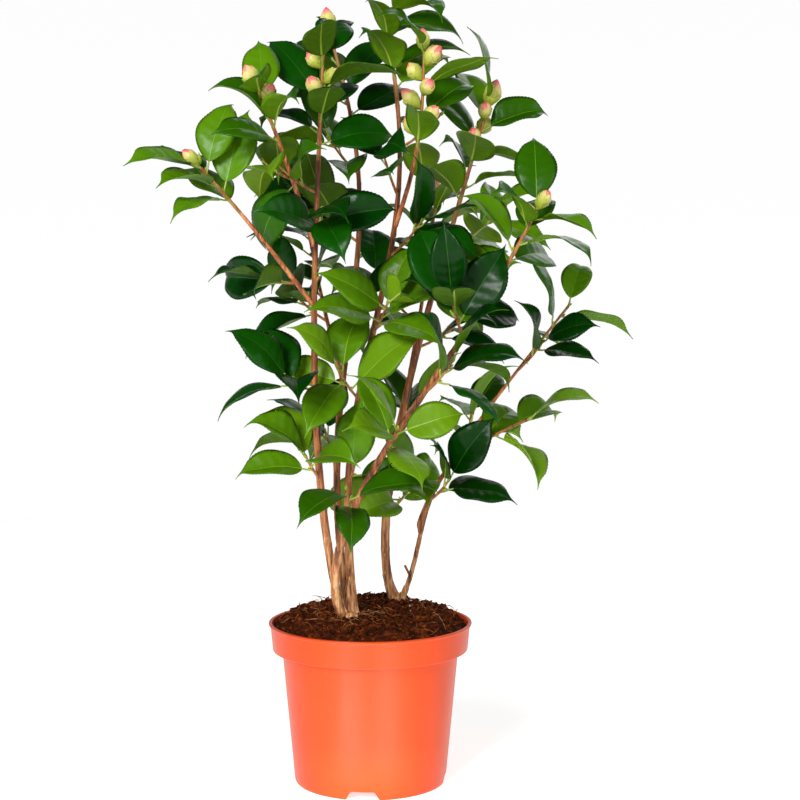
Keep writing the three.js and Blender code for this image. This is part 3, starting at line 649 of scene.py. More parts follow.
def tube_tree():
    """Grows a round tube along each line of edges. A point's radius is its own attribute."""
    tree, given, out = geometry_tree("tubes_along_lines", {"Sides": "Int", "Skin": "Material"})
    lines = add(tree, "GeometryNodeMeshToCurve", {"Mesh": given["Geometry"]})
    circle = add(tree, "GeometryNodeCurvePrimitiveCircle",
                 {"Resolution": given["Sides"], "Radius": 1.0})
    radius = add(tree, "GeometryNodeInputNamedAttribute", {"Name": "radius"}, data_type="FLOAT")
    skins = add(tree, "GeometryNodeCurveToMesh", {"Curve": lines, "Profile Curve": circle,
                                                  "Scale": radius, "Fill Caps": True})
    return close_tree(tree, skins, given["Skin"], out)


def scatter_tree():
    """Sets a shape on each point, turned to the point's own axis and to its own size."""
    tree, given, out = geometry_tree(
        "shapes_on_points", {"Shape": "Object", "Seed": "Int", "Skin": "Material"})
    shape = add(tree, "GeometryNodeObjectInfo", {"Object": given["Shape"]}).outputs["Geometry"]
    axis = add(tree, "GeometryNodeInputNamedAttribute", {"Name": "axis"}, data_type="FLOAT_VECTOR")
    size = add(tree, "GeometryNodeInputNamedAttribute", {"Name": "size"}, data_type="FLOAT_VECTOR")
    upright = add(tree, "FunctionNodeAlignRotationToVector", {"Vector": axis}, axis="Z")
    spin = add(tree, "FunctionNodeRandomValue", {"Seed": given["Seed"], 3: 2 * pi}, data_type="FLOAT")
    turn = add(tree, "ShaderNodeCombineXYZ", {"Z": spin.outputs[1]})
    euler = add(tree, "FunctionNodeEulerToRotation", {"Euler": turn})
    rotation = add(tree, "FunctionNodeRotateRotation", {"Rotation": upright, "Rotate By": euler},
                   rotation_space="LOCAL")
    copies = add(tree, "GeometryNodeInstanceOnPoints", {"Points": given["Geometry"],
                 "Instance": shape, "Rotation": rotation, "Scale": size})
    return close_tree(tree, copies, given["Skin"], out)


TUBES, SHAPES = tube_tree(), scatter_tree()


def tubes(name, lines, sides, skin):
    """Tubes along (points, radii) lines in millimetres."""
    points, radii = (np.concatenate(column) for column in zip(*lines))
    starts = set(np.cumsum([len(line[0]) for line in lines]))
    edges = [(i - 1, i) for i in range(1, len(points)) if i not in starts]
    return grown(name, TUBES, points, edges, {"radius": radii * MM}, {"Sides": sides, "Skin": skin})


def shapes(name, shape, rows, skin, seed=1):
    """Copies of one shape, by rows of (point in millimetres, axis, size)."""
    points, axes, sizes = zip(*rows)
    return grown(name, SHAPES, points, [], {"axis": axes, "size": sizes},
                 {"Shape": shape, "Seed": seed, "Skin": skin})


def grid_faces(rows, columns, closed=False):
    """Quads over a grid of points, row by row. closed joins the last column to the first."""
    faces = []
    for i in range(rows - 1):
        for j in range(columns if closed else columns - 1):
            k = (j + 1) % columns
            faces.append((i * columns + j, i * columns + k, (i + 1) * columns + k,
                          (i + 1) * columns + j))
    return faces


def tube_faces(rows, columns):
    """The faces of a closed tube of points, row by row, with a cap at each end."""
    ends = [tuple(range(columns))[::-1], tuple(range((rows - 1) * columns, rows * columns))]
    return grid_faces(rows, columns, closed=True) + ends


def ring_at(radius, height, sides, x=0, y=0):
    """Points round a level circle."""
    return [(x + radius * cos(a), y + radius * sin(a), height)
            for a in np.linspace(0, 2 * pi, sides, endpoint=False)]


def joined(parts):
    """Parts, each of points and faces, as one."""
    vertices, faces, start = [], [], 0
    for some, quads in parts:
        vertices.append(some)
        faces += [tuple(int(i) + start for i in quad) for quad in quads]
        start += len(some)
    return np.concatenate(vertices), faces


def rough(point, width, seed):
    """Smooth noise from -1 to 1 with features about so many millimetres wide."""
    return noise.noise(Vector((point[0] / width, point[1] / width, point[2] / width + seed)))


# Leaves.

# The blades. Pairs are the least and the most that a leaf can have.
BLADE = SimpleNamespace(slim=0.92, rings=47, columns=(-1, -0.78, -0.52, -0.27, 0.27, 0.52, 0.78, 1),
                        thickness=0.4, tooth=0.42, rib=0.42, rib_below=1.15, rib_depth=0.9, veins=7,
                        quilt=0.85, drip_from=0.73, drip=0.6, drip_curl=6, second_tone=0.4,
                        least_half=0.3, tooth_from=0.06, fold=(0.25, 0.72), droop=(0.12, 0.42),
                        wave=(0.5, 2.2), lean=(-0.16, 0.16), turns=(1.2, 2), bulge=(0.2, 1.1))


def leaf_points(leaf, draw):
    """One leaf's points: a blade folded along its rib, quilted by its veins, its edge toothed."""
    u = np.linspace(0, 1, BLADE.rings)
    point, side, upper, half = blade_frames(leaf, u)
    tip = np.clip((u - BLADE.drip_from) / (1 - BLADE.drip_from), 0, 1)
    taper = 1 - 0.25 * np.clip((u - 0.5) / 0.5, 0, 1) ** 2
    neck = np.clip((u - BLADE.drip_from) / 0.2, 0, 1)
    half = half[:, 0] * BLADE.slim * taper * (1 - BLADE.drip * neck**2 * (3 - 2 * neck))
    half = np.maximum(half, BLADE.least_half)
    calm = np.minimum(half / 13, 1)[:, None]
    rib = np.minimum(BLADE.rib * (1 - 0.85 * u), 0.2 * half)
    rib_below = np.minimum(BLADE.rib_below * (1 - 0.85 * u**0.7), 0.25 * half)
    fold, droop = mix(*BLADE.fold, draw()), mix(*BLADE.droop, draw())
    wave, phase = mix(*BLADE.wave, draw()), 2 * pi * draw()
    lean, turns, bulge = [mix(*span, draw()) for span in (BLADE.lean, BLADE.turns, BLADE.bulge)]
    point = point - upper * (BLADE.drip_curl * mix(0.2, 1, draw()) * tip**2)[:, None]
    middle = len(BLADE.columns) // 2
    left, right = BLADE.columns[:middle], BLADE.columns[middle:]
    offsets = np.stack([half * v for v in left] + [-rib, rib] + [half * v for v in right], 1)
    share = offsets / half[:, None]
    tooth = BLADE.tooth * (np.arange(BLADE.rings) % 2) * (u > BLADE.tooth_from) * calm[:, 0]
    offsets[:, 0] -= tooth
    offsets[:, -1] += tooth
    ahead = np.zeros_like(offsets)
    ahead[:, 0] = ahead[:, -1] = tooth
    size = np.abs(share)
    lift = half[:, None] * (fold * size + lean * share - droop * size**2)
    ripple = np.cos(2 * pi * BLADE.veins * (u[:, None] - 0.16 * size**1.2))
    quilt = np.sin(pi * np.clip(size, 0, 1)) * np.minimum(half / 16, 1)[:, None]
    lift = lift - BLADE.quilt * quilt * (0.5 + 0.5 * ripple) ** 2
    edge_wave = np.sin(2 * pi * turns * u[:, None] + phase + 2 * np.sign(share))
    lift = lift + calm * wave * size**3 * edge_wave
    lift = lift + calm * bulge * np.sin(2 * pi * 1.3 * u[:, None] + 2 * phase) * (1 - size**2)
    forward = np.gradient(point, axis=0)
    forward /= np.linalg.norm(forward, axis=1)[:, None]
    top = (point[:, None] + side[:, None] * offsets[..., None] + upper[:, None] * lift[..., None]
           + forward[:, None] * ahead[..., None])
    depth = np.full_like(offsets, BLADE.thickness)
    depth[:, middle:middle + 2] += (BLADE.rib_depth * (1 - 0.75 * u))[:, None]
    below = top - upper[:, None] * depth[..., None]
    for column, sign in ((middle, -1), (middle + 1, 1)):
        below[:, column] += side * (sign * (rib_below - rib))[:, None]
    return np.concatenate([top.reshape(-1, 3), below[:, 1:-1].reshape(-1, 3)])


def blade_faces(rows, columns):
    """A blade's faces and their slots: its two sides, which share their edges, and two end caps."""
    over = np.arange(rows * columns).reshape(rows, columns)
    under = over.copy()
    under[:, 1:-1] = rows * columns + np.arange(rows * (columns - 2)).reshape(rows, columns - 2)
    faces, slots = [], []
    for ids, way, plain, rib in ((over, 1, 0, 2), (under, -1, 1, 3)):
        for i in range(rows - 1):
            for j in range(columns - 1):
                faces.append((ids[i, j], ids[i, j + 1], ids[i + 1, j + 1], ids[i + 1, j])[::way])
                slots.append(rib if j == columns // 2 - 1 else plain)
    for i, way in ((0, -1), (rows - 1, 1)):
        faces.append((*over[i], *under[i, -2:0:-1])[::way])
        slots.append(1)
    return faces, slots


def tone_of(spray):
    """Which group of tones a spray's leaves have."""
    short = spray.name.removeprefix("spray_")
    if short in YOUNG_SPRAYS:
        return "leaves_young"
    return "leaves_old" if short in OLD_SPRAYS else "leaves_grown"


def build_leaves():
    faces, marks = blade_faces(BLADE.rings, len(BLADE.columns) + 2)
    for name, tones in LEAF_TONES.items():
        skins = [leaf_skin(f"{name}_{part}", tone, roughness, depth, specular_ior_level=specular)
                 for tone, (part, roughness, depth, specular) in zip(tones, LEAF_SURFACES)]
        parts, slots, owners = [], [], []
        for order, spray in enumerate(sprays):
            if tone_of(spray) != name:
                continue
            owners.append(spray.name)
            draw = stream(5 * SEED + 89 * order)
            for leaf in spray.leaf_list:
                parts.append((leaf_points(leaf, draw), faces))
                top = 4 if draw() < BLADE.second_tone else 0
                slots += [top if mark == 0 else mark for mark in marks]
        settle(piece_from(name, *joined(parts), skins, slots), "foliage", *owners)


# Pruned stubs: limb, place along it, compass angle, rise, length and girth.
STUBS = [
    ("stem_low_right", 0.13, 200, 62, 10, 2.6), ("stem_outer_left", 0.6, 340, 55, 6, 3),
    ("stem_tallest", 0.3, 150, 40, 5, 3.2), ("stem_right", 0.66, 200, 48, 6, 3.2),
    ("stem_back_left", 0.46, 300, 50, 5, 2.8), ("stem_leaning_right", 0.62, 60, 50, 5, 2.6),
]
# Rows of (place, radius) along a stub and along a leaf's stalk. Places are shares of the length.
# The stub's radii are shares of its own, and the stalk's are in millimetres.
STUB_PROFILE = np.array([(-0.15, 1.1), (0, 1.1), (0.35, 0.92), (0.8, 0.9), (1, 0.98), (1.04, 0.6)])
STALK_PROFILE = np.array([(0.05, 1.35), (0.3, 0.95), (0.6, 0.85), (0.85, 0.85), (1.02, 0.75),
                          (1.06, 0.4)])


def build_twigs():
    """Twigs with a knob at each leaf, the stubs of pruned ones, and the stalk of every leaf."""
    twigs, stalks = [], []
    for name, at, angle, rise, length, girth in STUBS:
        out = bearing(angle, rise)
        start = limb_point(limbs[name], at) + out * limb_radius(limbs[name], at) * 0.8
        reach, swell = STUB_PROFILE.T
        twigs.append((start + out * (reach * length)[:, None], girth / 2 * swell))
    for spray in sprays:
        first = -0.02 if spray.leads else -spray.root * 0.75
        shares = np.linspace(first, 1, 26 if spray.leads else 14)
        path = [spray.path(q) if q > 0 else
                spray.path(0) + spray_direction(spray, 0) * (q * spray.length) for q in shares]
        knobs = [leaf.q for leaf in spray.leaf_list]
        scale = 1.0 if spray.leads else TWIG.side_scale
        swells = [sum(exp(-(((q - k) * spray.length / TWIG.knob_width) ** 2)) for k in knobs)
                  for q in shares]
        radii = [spray.radius(max(0, q)) * scale * mix(1, TWIG.taper, max(0, q))
                 * (1 + TWIG.knob * swell) for q, swell in zip(shares, swells)]
        if spray.leads and spray.buds:
            radii[-1] *= 0.9
        twigs.append((np.array(path), np.array(radii)))
        for leaf in spray.leaf_list:
            reach = dist(leaf.root, leaf.base)
            line = [leaf.root + leaf.axis * (p * reach) - leaf.normal * (0.7 * sin(pi * min(1, p)))
                    for p in STALK_PROFILE[:, 0]]
            stalks.append((np.array(line), STALK_PROFILE[:, 1]))
    names = [spray.name for spray in sprays]
    settle(tubes("twigs", twigs, 10, TWIG_SKIN), "young_bark", *names)
    settle(tubes("leaf_stalks", stalks, 7, STALK), "foliage", *names)


# Buds.

SCALE = SimpleNamespace(count=9, outer=5, rows=8, columns=9, half_angle=70)
# How much longer a flower bud is than its solid, and the size of its petals in that: as wide as
# petals says, and as long as shut says, or ajar in every fourth bud.
OPENING = SimpleNamespace(swell=1.28, petals=0.97, shut=0.99, ajar=1.07)
# The shortest and longest leaf buds, by where they stand.
SLIM_BUD = SimpleNamespace(beside=(9, 13), at_end=(7, 10), over_stalk=(3, 5.5))


def bud_outline(t, plump=1.0):
    """Radius of a bud of length 1 at height t, widest over its middle and drawn in to its foot."""
    return 0.27 * plump * np.sin(pi * np.clip(t, 0, 1) ** 1.2) ** 0.8


def bud_shape(name, plump, scales, first=0, last=None, rows=SCALE.rows, columns=SCALE.columns):
    """Overlapping scales of a bud one millimetre long, from the first to the last, as thin shells."""
    size = rows * columns
    front = grid_faces(rows, columns)
    rim = [*range(columns), *range(2 * columns - 1, size, columns),
           *range(size - 2, size - columns - 1, -1), *range(size - 2 * columns, 0, -columns)]
    faces = front + [tuple(size + i for i in face[::-1]) for face in front]
    faces += [(b, a, size + a, size + b) for a, b in zip(rim, rim[1:] + rim[:1])]
    parts = []
    for i in range(first, last or scales):
        order = i / (scales - 1)
        turn = radians(DIVERGENCE * i)
        low, high = mix(0.0, 0.12, order), mix(0.42, 0.97, order**0.8)
        shell = []
        for skin, r, c in np.ndindex(2, rows, columns):
            up, v = r / (rows - 1), 2 * c / (columns - 1) - 1
            t = mix(low, high, up) - 0.16 * (high - low) * up * v * v
            t = mix(t, high - (high - low) * 0.45 * abs(v) ** 2.5, up**3)
            angle = turn + radians(SCALE.half_angle * mix(1, 0.78, up)) * v
            out = 0.014 + 0.036 * (1 - order) + 0.026 * up**3 * (1 - abs(v))
            radius = bud_outline(t, plump) + out * min(1, 0.35 + 2 * t) - 0.02 * skin
            shell.append((radius * cos(angle), radius * sin(angle), t))
        parts.append((shell, faces))
    vertices, faces = joined(parts)
    return with_rise(piece_from(name, vertices, faces, []), vertices)


def with_rise(piece, vertices):
    """Gives each point of a bud one millimetre long its height as an attribute."""
    rise = piece.data.attributes.new("rise", "FLOAT", "POINT")
    rise.data.foreach_set("value", [point[2] for point in vertices])
    return piece


def bud_core(name, rows=12, columns=14):
    """The petals' twisted, faintly fluted body, one millimetre long."""
    points = []
    for i in range(rows):
        t = mix(0.01, 0.995, i / (rows - 1))
        for j in range(columns):
            angle = 2 * pi * j / columns + 0.5 * t
            radius = max(0.012, float(bud_outline(t)) * (1 + 0.03 * cos(5 * angle)))
            points.append((radius * cos(angle), radius * sin(angle), t))
    return with_rise(piece_from(name, points, tube_faces(rows, columns), []), points)


def build_buds():
    """Flower buds with pink tips, and slim leaf buds beside them, at twig ends and over stalks."""
    outer = bud_shape("outer_scales_shape", 1.0, SCALE.count, 0, SCALE.outer)
    inner = bud_shape("inner_scales_shape", 1.0, SCALE.count, SCALE.outer)
    petals = bud_core("petal_shape")
    slim = bud_shape("leaf_bud_shape", 0.66, 4, rows=4, columns=5)
    flowers, slims, owners = [], [], set()
    for spray in sprays:
        for bud in spray.bud_list:
            side, _ = across(bud.axis)
            lean = unit(bud.axis + side * (0.75 if len(flowers) % 2 else -0.7) + UP * 0.3)
            tall = mix(*SLIM_BUD.beside, (len(flowers) * 0.37) % 1)
            slims.append((bud.root + lean * 2, lean, (0.8 * tall, 0.8 * tall, tall)))
            foot = bud.root + bud.axis * (0.04 * bud.length)
            flowers.append((foot, bud.axis, [OPENING.swell * bud.length] * 3))
            owners.add(spray.name)
    within = [(foot, axis, (OPENING.petals * wide, OPENING.petals * wide,
                            (OPENING.shut if i % 4 else OPENING.ajar) * wide))
              for i, (foot, axis, (wide, _, _)) in enumerate(flowers)]
    for name, shape, rows, skin in (("outer_bud_scales", outer, flowers, OUTER_SCALE),
                                    ("inner_bud_scales", inner, flowers, INNER_SCALE),
                                    ("flower_bud_petals", petals, within, BUD_PETAL)):
        settle(shapes(name, shape, rows, skin), "foliage", *sorted(owners))
    for order, spray in enumerate(sprays):
        draw = stream(11 * SEED + 13 * order)
        if not spray.bud_list:
            end = spray_direction(spray, 1)
            slims.append((spray.path(1) - end * 1.2, end, [mix(*SLIM_BUD.at_end, draw())] * 3))
        for leaf in spray.leaf_list:
            along = spray_direction(spray, leaf.q)
            outward = unit(leaf.axis - along * (leaf.axis @ along))
            foot = leaf.root + outward * spray.radius(leaf.q) * 0.6 + along * 1.3
            axis = unit(along * 0.75 + leaf.axis)
            slims.append((foot, axis, [mix(*SLIM_BUD.over_stalk, draw())] * 3))
    settle(shapes("leaf_buds", slim, slims, LEAF_BUD), "foliage", *[spray.name for spray in sprays])
    for helper in (outer, inner, petals, slim):
        bpy.data.objects.remove(helper)


# Stems, boughs and stools.

BARK = SimpleNamespace(step=2.4, sides=22, flute=0.07, flute_length=38, ridge=0.22, ridge_length=9,
                       node_gap=31, node_swell=0.09, node_width=1.7)
HEART = SimpleNamespace(rows=9, sides=16, depth=6)
# How a stool's parts are fused: the voxel, the smoothing, and the grooves and lumps on its bark.
FUSED = SimpleNamespace(voxel=0.7, smoothing=6, groove=0.42, groove_width=2.6, lump=0.5, lump_width=9)


def limb_tube(limb, low, high, order, flare=0.0, swell=1.0):
    """A limb's skin with the bark's relief: shallow flutes, lengthwise ridges and leaf scars."""
    rows = max(4, round(limb.length * (high - low) / BARK.step))
    draw = stream(17 * SEED + order)
    # More leaf scars than any limb has room for.
    scars = [k * BARK.node_gap * mix(0.8, 1.2, draw()) for k in range(1, 20)]
    points = []
    for i in range(rows + 1):
        s = mix(low, high, i / rows)
        centre = limb_point(limb, s)
        first, second = across(limb_direction(limb, max(0, s)))
        spread = flare * exp(-max(0, centre[2] - GROUND) / FLARE_HEIGHT)
        length = s * limb.length
        knob = sum(exp(-(((length - scar) / BARK.node_width) ** 2)) for scar in scars)
        for j in range(BARK.sides):
            angle = 2 * pi * j / BARK.sides
            facing = first * cos(angle) + second * sin(angle)
            radius = (limb_radius(limb, max(0, s)) + spread) * swell
            flute = rough((facing[0] * 1.2, facing[1] * 1.2, length / BARK.flute_length), 1, 3.1 * order)
            ridge = rough((facing[0] * 4.2, facing[1] * 4.2, length / BARK.ridge_length), 1, 9 + order)
            one_side = 0.5 + 0.5 * cos(angle - 2.4 * round(length / BARK.node_gap))
            radius *= 1 + BARK.flute * flute + BARK.node_swell * knob * (0.4 + one_side)
            points.append(centre + facing * (radius + BARK.ridge * ridge * min(1, radius / 3)))
    return np.array(points), tube_faces(rows + 1, BARK.sides)


def build_limbs():
    bases = {name: stool["height"] for stool in STOOLS for name in stool["stems"]}
    for order, limb in enumerate(limbs.values()):
        if limb.on:
            slot, skin, swell, low = "young_bark", YOUNG_BARK, 1.0, -limb.root * 0.7
        else:
            slot, skin, swell, low = "old_bark", OLD_BARK, 0.985, bases[limb.name] - 9
        tube = limb_tube(limb, low / limb.length, limb.ends + 0.004, order, swell=swell)
        settle(piece_from(f"bark_{limb.name}", *tube, [skin]), slot, limb.name)


def build_stools():
    """Each clump's foot: its stems and a heart between them, grown into one fluted mass."""
    for place, stool in enumerate(STOOLS):
        parts = []
        for order, name in enumerate(stool["stems"]):
            limb = limbs[name]
            parts.append(limb_tube(limb, -7 / limb.length, (stool["height"] + 3) / limb.length,
                                   20 + 5 * place + order, stool["flare"]))
        rings = []
        for t in np.linspace(0, 1, HEART.rows):
            radius = stool["heart_radius"] * sqrt(max(0.02, 1 - t * t)) * mix(1, 0.62, t)
            height = GROUND - HEART.depth + t * (stool["heart_height"] + HEART.depth)
            rings += ring_at(radius, height, HEART.sides, *stool["heart"])
        parts.append((rings, tube_faces(HEART.rows, HEART.sides)))
        source = piece_from(stool["name"], *joined(parts), [OLD_BARK])
        fuse = source.modifiers.new("fuse", "REMESH")
        fuse.mode, fuse.voxel_size, fuse.use_smooth_shade = "VOXEL", FUSED.voxel * MM, True
        soften = source.modifiers.new("soften", "SMOOTH")
        soften.factor, soften.iterations = 0.5, FUSED.smoothing
        piece = finished(source, f"bark_{stool['name']}")
        for vertex in piece.data.vertices:
            at = vertex.co / MM
            groove = FUSED.groove * rough((at[0], at[1], at[2] * 0.16), FUSED.groove_width, place)
            lump = FUSED.lump * rough(at, FUSED.lump_width, 4)
            vertex.co += vertex.normal * ((groove + lump) * MM)
        piece.data.materials.clear()
        piece.data.materials.append(OLD_BARK)
        settle(piece, "old_bark", stool["name"])


# The pot and its soil.


def rounded(profile, arcs=4):
    """A profile of (radius, height, corner radius) points with its corners rounded."""
    points = []
    for i, (r, z, corner) in enumerate(profile):
        here = Vector((r, z))
        if corner == 0 or i in (0, len(profile) - 1):
            points.append((r, z))
            continue
        before = Vector(profile[i - 1][:2]) - here
        after = Vector(profile[i + 1][:2]) - here
        reach = min(corner, 0.45 * before.length, 0.45 * after.length)
        start, end = here + before.normalized() * reach, here + after.normalized() * reach
        for k in range(arcs + 1):
            t = k / arcs
            points.append(tuple(start * (1 - t) ** 2 + here * 2 * t * (1 - t) + end * t * t))
    return points


def turned_shape(name, profile, sides, skin):
    """A closed shape turned round the Z axis from a profile that starts and ends on it."""
    inner = [p for p in profile if p[0] > 0]
    vertices = [point for r, z in inner for point in ring_at(r, z, sides)]
    faces = grid_faces(len(inner), sides, closed=True)
    first, last = len(vertices), len(vertices) + 1
    vertices += [(0, 0, profile[0][1]), (0, 0, profile[-1][1])]
    top = (len(inner) - 1) * sides
    for j in range(sides):
        k = (j + 1) % sides
        faces += [(first, k, j), (last, top + j, top + k)]
    return piece_from(name, vertices, faces, [skin])


def pot_inside():
    """The inside of the pot from its lip to its floor, as (radius, height)."""
    band_foot = POT.height - POT.band_depth
    return [
        (POT.lip_radius - POT.lip_thickness, POT.height),
        (POT.band_foot - POT.lip_thickness, band_foot + 4),
        (POT.body_top - POT.wall, band_foot),
        (POT.foot_radius - POT.wall, POT.floor_height + 2),
        (POT.foot_radius - POT.wall - 2, POT.floor_height),
    ]


def notch_cutter(turn):
    """A block with the outline of one notch, which cuts through the foot ring at that angle."""
    wide, narrow, top = NOTCH.foot_width / 2 + 0.8, NOTCH.top_width / 2, NOTCH.height
    half = [(wide, -1), (narrow + 1.2, top - 2), (narrow, top - 0.6), (narrow - 1.6, top)]
    outline = [(-wide, -1), *half, *[(-w, z) for w, z in half[:0:-1]]]
    points = [(r * cos(turn) - w * sin(turn), r * sin(turn) + w * cos(turn), z)
              for r in (POT.foot_radius - POT.foot_ring - 8, POT.foot_radius + 9)
              for w, z in outline]
    return points, tube_faces(2, len(outline))


def build_pot():
    """A moulded tub: rounded lip, deep band, slim body, and notches in its hollow foot ring."""
    band_foot = POT.height - POT.band_depth
    ring = POT.foot_radius - POT.foot_ring
    lip, band_in, body_in, wall_foot, floor = pot_inside()
    profile = rounded([
        (0, POT.recess, 0), (ring - 2, POT.recess, 1.5), (ring, POT.recess - 2, 1), (ring, 0, 0.8),
        (POT.foot_radius - 1.2, 0, 0.9), (POT.foot_radius, 2.4, 1.6), (POT.body_top, band_foot, 0.8),
        (POT.band_foot, band_foot + 0.3, 1.2), (POT.band_top, POT.height - POT.lip_depth, 0.6),
        (POT.lip_radius, POT.height - POT.lip_depth * 0.75, 0.9), (POT.lip_radius, POT.height, 1.4),
        (*lip, 0.8), (*band_in, 1.5), (*body_in, 1.5), (*wall_foot, 1), (*floor, 1),
        (0, POT.floor_height, 0),
    ])
    source = turned_shape("pot_body", profile, 180, PLASTIC)
    turns = [radians(NOTCH.first_angle + 360 / NOTCH.count * i) for i in range(NOTCH.count)]
    cutter = piece_from("notches", *joined([notch_cutter(turn) for turn in turns]), [PLASTIC])
    outward(cutter.data)
    cut = source.modifiers.new("notches", "BOOLEAN")
    cut.object, cut.operation, cut.solver = cutter, "DIFFERENCE", "EXACT"
    piece = finished(source, "pot_shell")
    bpy.data.objects.remove(cutter)
    piece.data.set_sharp_from_angle(angle=radians(38))
    settle(piece, "pot_plastic", "pot")


def outward(mesh):
    """Turns a closed mesh's faces to point outwards."""
    shell = bmesh.new()
    shell.from_mesh(mesh)
    bmesh.ops.recalc_face_normals(shell, faces=shell.faces)
    shell.to_mesh(mesh)
    shell.free()


def soil_height(x, y, edge):
    """The soil's surface: a level middle that falls to the pot's wall, with hollows and crumbs."""
    r = hypot(x, y)
    if r < SOIL.level_radius:
        plain = SOIL.level
    else:
        t = (r - SOIL.level_radius) / (edge - SOIL.level_radius)
        plain = mix(SOIL.level, SOIL.edge_height, min(1, t) ** 2.4)
    heap = HEAP.height * exp(-(((x - HEAP.x) / HEAP.wide) ** 2) - ((y - HEAP.y) / HEAP.deep) ** 2)
    calm = 1 if r < edge - 8 else max(0.25, (edge - r) / 8)
    rise = sum(height * rough((x, y, 0), width, seed) for height, width, seed in HOLLOWS)
    return plain + heap + calm * rise - SOIL.sunk


def soil_edge():
    lip, band_in = pot_inside()[:2]
    fill = (SOIL.edge_height - band_in[1]) / (lip[1] - band_in[1])
    return mix(band_in[0], lip[0], fill) - 0.3


def build_soil():
    """The peat's surface, and on it loose crumbs, fibres, root ends and specks of perlite."""
    edge = soil_edge()
    rows, sides = 64, 230
    vertices = []
    for i in range(rows):
        r = edge * ((i + 0.4) / (rows - 0.6)) ** 0.8
        vertices += [(x, y, soil_height(x, y, edge)) for x, y, _ in ring_at(r, 0, sides)]
    _, _, body_in, _, floor = pot_inside()
    vertices += ring_at(body_in[0] - 0.6, body_in[1], sides)
    vertices += ring_at(floor[0] - 0.6, POT.floor_height + SEAT, sides)
    faces = [face[::-1] for face in tube_faces(rows + 2, sides)]
    settle(piece_from("peat_surface", vertices, faces, [PEAT]), "peat", "soil")

    draw = stream(3 * SEED)
    crumb, speck = crumb_shape("crumb_shape", 1, 0.55, 1), crumb_shape("perlite_shape", 2, 0.2, 5)
    fibre = fibre_shape("fibre_shape")

    def strewn(count, least, most, stretch=1.0, flat=1, heart=(0, 0), within=edge - 3):
        """Rows of bits within a circle round a heart. flat under 1 lays them down."""
        bits = []
        while len(bits) < count:
            r, a = within * sqrt(draw()), 2 * pi * draw()
            x, y = heart[0] + r * cos(a), heart[1] + r * sin(a)
            size = mix(least, most, draw() ** 2.2)
            tilt = bearing(360 * draw(), 90 * flat * draw() if flat < 1 else 90 - 50 * draw())
            foot = (x, y, soil_height(x, y, edge) + size * 0.12)
            bits.append((foot, tilt, (size, size, size * stretch)))
        return bits

    for name, shape, skin, seed, spread in (
            ("dark_crumbs", crumb, CRUMB, 3, dict(count=1100, least=1.4, most=6.4, stretch=0.7)),
            ("rust_crumbs", crumb, RUST, 7, dict(count=360, least=1.2, most=6, stretch=0.4)),
            ("perlite_specks", speck, PERLITE, 4,
             dict(count=16, least=0.9, most=3.4, heart=(30, 22), within=46)),
            ("peat_fibres", fibre, FIBRE, 5, dict(count=300, least=6, most=20, flat=0.3))):
        settle(shapes(name, shape, strewn(**spread), skin, seed), "peat", "soil")
    settle(tubes("root_hairs", root_lines(draw, edge), 5, ROOT), "peat", "soil")
    for helper in (crumb, speck, fibre):
        bpy.data.objects.remove(helper)


def root_lines(draw, edge):
    """Dry root ends that lie over the peat and lift off it in places."""
    lines = []
    for _ in range(ROOTS.count):
        r, heading = (edge - ROOTS.margin) * sqrt(draw()), 2 * pi * draw()
        x, y = r * cos(heading), r * sin(heading)
        length, arch = mix(*ROOTS.length, draw()), mix(*ROOTS.arch, draw() ** 2)
        turn, heading = mix(*ROOTS.turn, draw()), 2 * pi * draw()
        girth, steps = mix(*ROOTS.girth, draw()), ROOTS.steps
        points = []
        for i in range(steps):
            t = i / (steps - 1)
            heading += turn + 0.25 * (draw() - 0.5)
            x, y = x + cos(heading) * length / steps, y + sin(heading) * length / steps
            points.append((x, y, soil_height(x, y, edge) + 0.4 + arch * sin(pi * t)))
        lines.append((np.array(points), girth * np.linspace(1, 0.4, steps)))
    return lines


def crumb_shape(name, levels, roughness, seed):
    """A broken lump about one millimetre across."""
    lump = bmesh.new()
    bmesh.ops.create_icosphere(lump, subdivisions=levels, radius=0.5)
    for vertex in lump.verts:
        vertex.co *= 1 + roughness * noise.noise(vertex.co * 2.3 + Vector((seed, 0, 0))) * 2
    vertices = np.array([v.co for v in lump.verts])
    faces = [tuple(v.index for v in f.verts) for f in lump.faces]
    lump.free()
    return piece_from(name, vertices, faces, [])


def fibre_shape(name):
    """A thin bent fibre one millimetre long."""
    points = []
    for t in np.linspace(0, 1, 7):
        radius = 0.028 * sin(pi * mix(0.12, 0.9, t))
        points += ring_at(radius, t - 0.5, 3, 0.13 * sin(3.3 * t), 0.08 * sin(6 * t + 1))
    return piece_from(name, points, tube_faces(7, 3), [])


# The photo's camera, in metres and degrees, with its lens and sensor in millimetres.
CAMERA = SimpleNamespace(place=(0.028, -1.533, 0.463), tilt=86.14, lens=74, sensor=36)
FLOOR_RADIUS = 1900
# The lamps that light the plant, by name, place, width, height and power.
LAMPS = [
    ("key", (-0.95, -2.15, 1.45), 0.8, 0.8, 70), ("fill", (1.9, -1.2, 1.1), 1.6, 1.6, 14),
    ("rim", (0.9, 1.9, 1.9), 1.6, 1.6, 16),
]
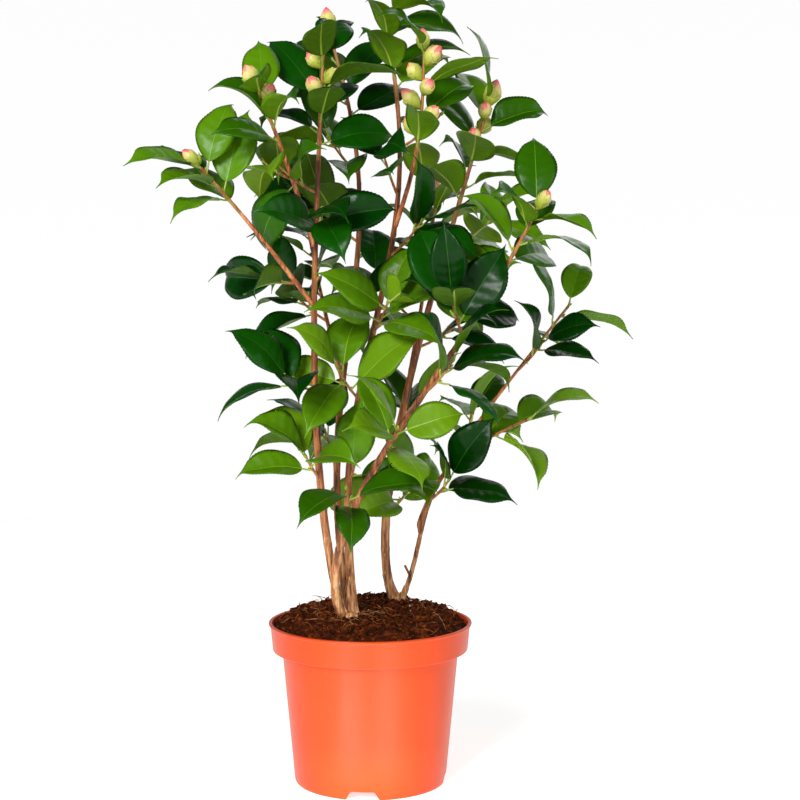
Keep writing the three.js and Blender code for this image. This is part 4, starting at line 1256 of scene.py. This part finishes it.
# Small lamps that shine down on the floor in front of the pot, by name, place, heading, width,
# length and power. The pot's wall leans out, so it mirrors the floor there as two pale bands.
FLOOR_LAMPS = [
    ("left_strip", (-0.098, -0.23, 0.05), 243, 0.25, 0.03, 0.56),
    ("right_strip", (0.087, -0.235, 0.05), 294, 0.25, 0.03, 0.47),
]


def hang_lamp(name, place, wide, tall, power, turn):
    lamp = bpy.data.lights.new(name, "AREA")
    lamp.shape, lamp.size, lamp.size_y, lamp.energy = "RECTANGLE", wide, tall, power
    holder = in_scene(name, lamp)
    holder.location, holder.rotation_euler = place, turn


def build_stage():
    """A plain pale floor, soft light from all round, the lamps, and the photo's camera."""
    made, _, _ = material("studio_floor", "#f2f1ef", roughness=0.7, specular_ior_level=0.2,
                          emission_color=(1, 1, 1, 1), emission_strength=0.6)
    piece_from("floor", ring_at(FLOOR_RADIUS, 0, 96), [tuple(range(96))], [made],
                        smooth=False)
    world = bpy.data.worlds.new("studio")
    world.use_nodes = True
    tree = world.node_tree
    direction = add(tree, "ShaderNodeTexCoord").outputs["Generated"]
    height = add(tree, "ShaderNodeSeparateXYZ", {"Vector": direction}).outputs["Z"]
    sky = add(tree, "ShaderNodeValToRGB", {"Fac": height},
              ((0.0, "#ffffff"), (0.175, "#fdfdfd"), (0.4, "#4c5054")))
    plug(tree, tree.nodes["Background"], {"Color": sky})
    bpy.context.scene.world = world
    for name, place, wide, tall, power in LAMPS:
        aim = Vector((0, 0, 0.4)) - Vector(place)
        hang_lamp(name, place, wide, tall, power, aim.to_track_quat("-Z", "Y").to_euler())
    for name, place, heading, wide, tall, power in FLOOR_LAMPS:
        hang_lamp(name, place, wide, tall, power, (0, 0, radians(heading)))
    lens = bpy.data.cameras.new("camera")
    lens.sensor_width, lens.lens = CAMERA.sensor, CAMERA.lens
    camera = in_scene("camera", lens)
    camera.location = CAMERA.place
    camera.rotation_euler = (radians(CAMERA.tilt), 0, 0)
    bpy.context.scene.camera = camera
    bpy.context.scene.view_settings.view_transform = "Standard"


build_pot()
build_soil()
build_stools()
build_limbs()
build_twigs()
build_buds()
build_leaves()
build_stage()
